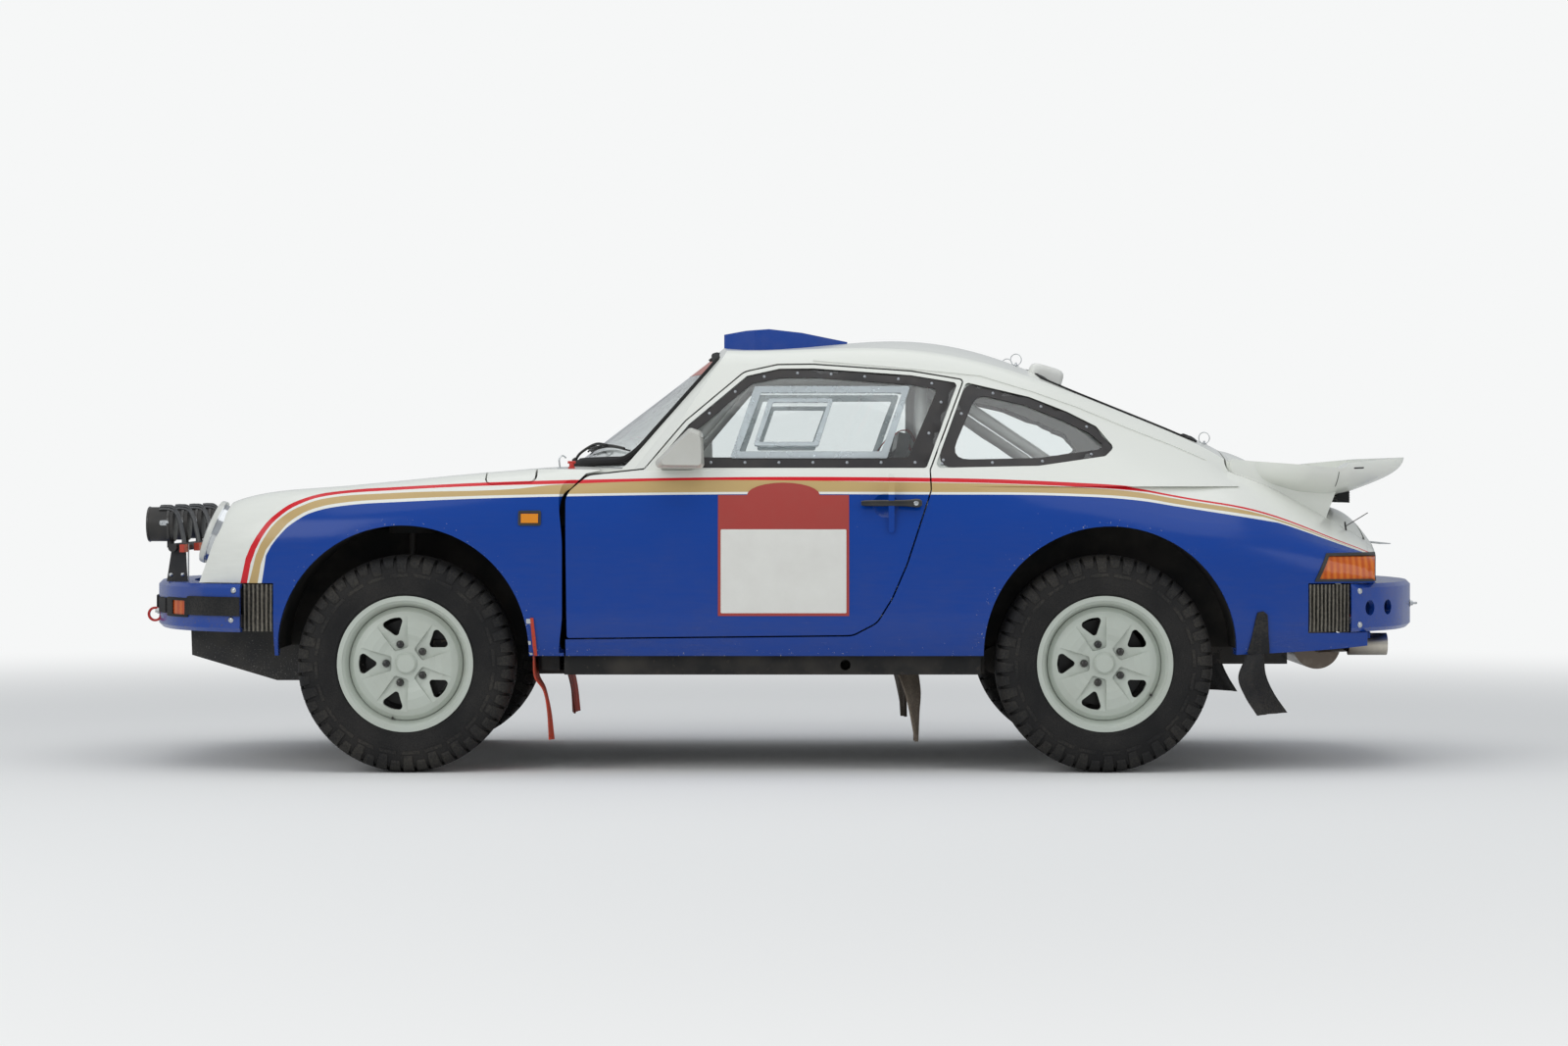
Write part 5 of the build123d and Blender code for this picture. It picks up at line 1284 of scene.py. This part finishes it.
for seat_name, sign in SEATS:
    belts = []
    for shift in (-75, 75):
        y = SEAT_Y + shift
        belts.append(belt([
            (243, y * 0.5 + 175, 640), (262, y, 760), (302, y, 920), (328, y, 1040), (360, y, 1090),
            (398, y, 1117),
            (440, y, 1080), (560, y, 800), (680, y, 566)], 48, 2.4, sign))
    belts.append(belt([(150, 535, 640), (120, 500, 570), (60, 420, 560), (40, 350, 562), (60, 280, 560),
                       (120, 200, 570), (150, 165, 640)], 46, 2.4, sign))
    fixed(f"{seat_name}_harness", belts, belt_red, "body")
    buckle = moved(spun([(0, 12), (22, 11), (29, 7), (30, 0), (0, 0)], 28), (40, sign * SEAT_Y, 564))
    fixed(f"{seat_name}_buckle", [buckle], zinc, "body")

# Dashboard: a flocked black shelf with five round dials in thin bright rings.
# Each face has white graduations and an orange needle, and the steering wheel's rim is black suede.
cover(moulded_black, "dashboard", "gear_shift", "lamp_bar")
suede = woven("black suede rim", "#17171a", "#2d2d31", 1.2)
cover(suede, "steering_wheel")
DIALS = [(-167, 38), (-83, 40), (0, 52), (88, 40), (167, 38)]
dial_white = vinyl("white dial print", "#e8e8e2", 0.5)
needle_orange = vinyl("orange needle", "#e0521c", 0.5)
DIAL_Z = 880
rings, ticks, needles = [], [], []
for shift, radius in DIALS:
    y = shift - SEAT_Y
    bezel_line = [(radius - 4, 0), (radius - 2.5, 4), (radius, 5), (radius + 1.5, 3), (radius + 1.5, -3)]
    rings.append(moved(spun(bezel_line, 40), (-461.8, y, DIAL_Z), (1, 0, 0)))
    for k in range(27):
        turn = math.radians(-45 + 270 * k / 26)
        aside, up = math.cos(turn), math.sin(turn)
        long_tick = k % 3 == 0
        inner = radius * (0.68 if long_tick else 0.76)
        ends = [Vector((-460.6, y + reach * aside, DIAL_Z + reach * up)) for reach in (inner, radius * 0.84)]
        ticks.append(tube(ends, 0.9 if long_tick else 0.5, 4))
    aim = math.radians(215 - shift * 0.2)
    tip = (-459.6, y + radius * 0.7 * math.cos(aim), DIAL_Z + radius * 0.7 * math.sin(aim))
    needles.append(tube([(-459.6, y, DIAL_Z), tip], 1.2, 6))
    needles.append(moved(spun([(0, 3), (4, 2.5), (5, 0), (0, 0)], 16), (-461.5, y, DIAL_Z), (1, 0, 0)))
fixed("dial_rings", rings, chrome, "body")
fixed("dial_marks", ticks, dial_white, "body")
fixed("dial_needles", needles, needle_orange, "body")
toggle = spun([(0, 16), (2.4, 15), (1.6, 3), (7, 2), (7, 0), (0, 0)], 12)
switches = [moved(toggle, (-468.2, 34 * k, 862 + 26 * (k % 2)), (1, 0, 0)) for k in range(13)]
fixed("dash_switches", switches, zinc, "body")

# Structure and running gear: stone-chip coating on the floor, white tube in the cabin,
# castings painted dark as shade and steel below, and a guard of dull scratched plate.
underseal = coated_metal("stone chip underseal", "#121211", 0.8, "#2f2a25", 22.0, 0.1, 0.0)
cover(underseal, "body_tub")
cage_paint = coated_metal("white cage paint", "#d9dad6", 0.3, "#9a968c", 12.0, 0.0, 0.4)
cover(cage_paint, "roll_cage")
chassis_steel = coated_metal("dusty chassis steel", "#2c2a28", 0.6, "#6a5f52", 20.0, 0.25, 0.0)
cover(chassis_steel, "front_arms", "rear_arms", "tie_rods", "front_knuckle_left", "front_knuckle_right")
guard_plate = coated_metal("scratched guard plate", "#1c1c1c", 0.45, "#6d6a64", 5.0, 0.12, 0.0)
cover(guard_plate, "sump_guard")
# The engine's dark colour is painted shade under the car.
casting = coated_metal("alloy casting painted dark as shade", "#34322f", 0.6, "#211f1c", 30.0, 0.15, 0.0)
cover(casting, "engine")


def stained_steel():
    material, tree, shader = new_material("heat stained steel", Metallic=1.0, Roughness=0.32)
    position = place(tree)
    heat = remap(tree, split(tree, position)[0], 1.86, 2.0)
    uneven = maths(tree, "MULTIPLY_ADD", noise(tree, position, 30, 6.0), 0.5, -0.25)
    tint(tree, shader, maths(tree, "ADD", heat, uneven), "#6f655c", "#c8c2b6")
    return material


cover(stained_steel(), "exhaust")

# Stage: a pale floor and an even white surround, with three large soft lamps.
floor_material, floor_tree, floor_shader = new_material("pale floor", Roughness=0.9)
floor_shader.inputs["Base Color"].default_value = linear("#f4f4f2")
floor_place = add_node(floor_tree, "ShaderNodeVectorMath", {"operation": "LENGTH"}, {0: place(floor_tree)})
far_off = add_node(floor_tree, "ShaderNodeMapRange",
                   {"From Min": 3.2, "From Max": 9.0, "interpolation_type": "SMOOTHSTEP"},
                   {"Value": floor_place.outputs["Value"]})
floor_rays = add_node(floor_tree, "ShaderNodeLightPath")
floor_seen = maths(floor_tree, "MULTIPLY", far_off.outputs[0], floor_rays.outputs["Is Camera Ray"])
floor_glow = add_node(floor_tree, "ShaderNodeEmission", {"Color": linear("#f6f7f7"), "Strength": 1.0})
floor_mix = add_node(floor_tree, "ShaderNodeMixShader", {},
                     {0: floor_seen, 1: floor_shader.outputs[0], 2: floor_glow.outputs[0]})
floor_tree.links.new(floor_mix.outputs[0], floor_tree.nodes["Material Output"].inputs["Surface"])
floor_mesh = bpy.data.meshes.new("floor")
floor_mesh.from_pydata([(-40, -40, 0), (40, -40, 0), (40, 60, 0), (-40, 60, 0)], [], [(0, 1, 2, 3)])
floor = bpy.data.objects.new("floor", floor_mesh)
floor.data.materials.append(floor_material)
bpy.context.scene.collection.objects.link(floor)

world = bpy.data.worlds.new("studio")
bpy.context.scene.world = world
world.use_nodes = True
studio = world.node_tree
surround = studio.nodes["Background"]
surround.inputs["Color"].default_value = linear("#dfe3e8")
surround.inputs["Strength"].default_value = 0.62
backdrop = add_node(studio, "ShaderNodeBackground", {"Color": linear("#f6f7f7"), "Strength": 1.0})
rays = add_node(studio, "ShaderNodeLightPath")
seen = maths(studio, "MAXIMUM", rays.outputs["Is Camera Ray"], rays.outputs["Is Transmission Ray"])
chosen = add_node(studio, "ShaderNodeMixShader", {},
                  {0: seen, 1: surround.outputs[0], 2: backdrop.outputs[0]})
studio.links.new(chosen.outputs[0], studio.nodes["World Output"].inputs["Surface"])

LAMPS = [("overhead", (0, -1.0, 6.5), 7.0, 150), ("key", (-5.5, -7.0, 4.5), 5.0, 170),
         ("fill", (6.0, -5.0, 3.5), 4.0, 60)]
for name, spot, size, watts in LAMPS:
    lamp = bpy.data.lights.new(name, "AREA")
    lamp.energy = watts
    lamp.size = size
    holder = bpy.data.objects.new(name, lamp)
    holder.location = spot
    holder.rotation_euler = (Vector((0, 0, 0.7)) - Vector(spot)).to_track_quat("-Z", "Y").to_euler()
    bpy.context.scene.collection.objects.link(holder)

# Camera: the long lens of the picture, level, square to the car's left side.
camera = bpy.data.objects.new("camera", bpy.data.cameras.new("camera"))
camera.location = (0.0, -12.796, 0.950)
camera.rotation_euler = (math.radians(90), 0, 0)
camera.data.lens = 85
camera.data.sensor_width = 36
camera.data.shift_y = -43.5 / 1600
bpy.context.scene.collection.objects.link(camera)
bpy.context.scene.camera = camera
bpy.context.scene.view_settings.view_transform = "Standard"
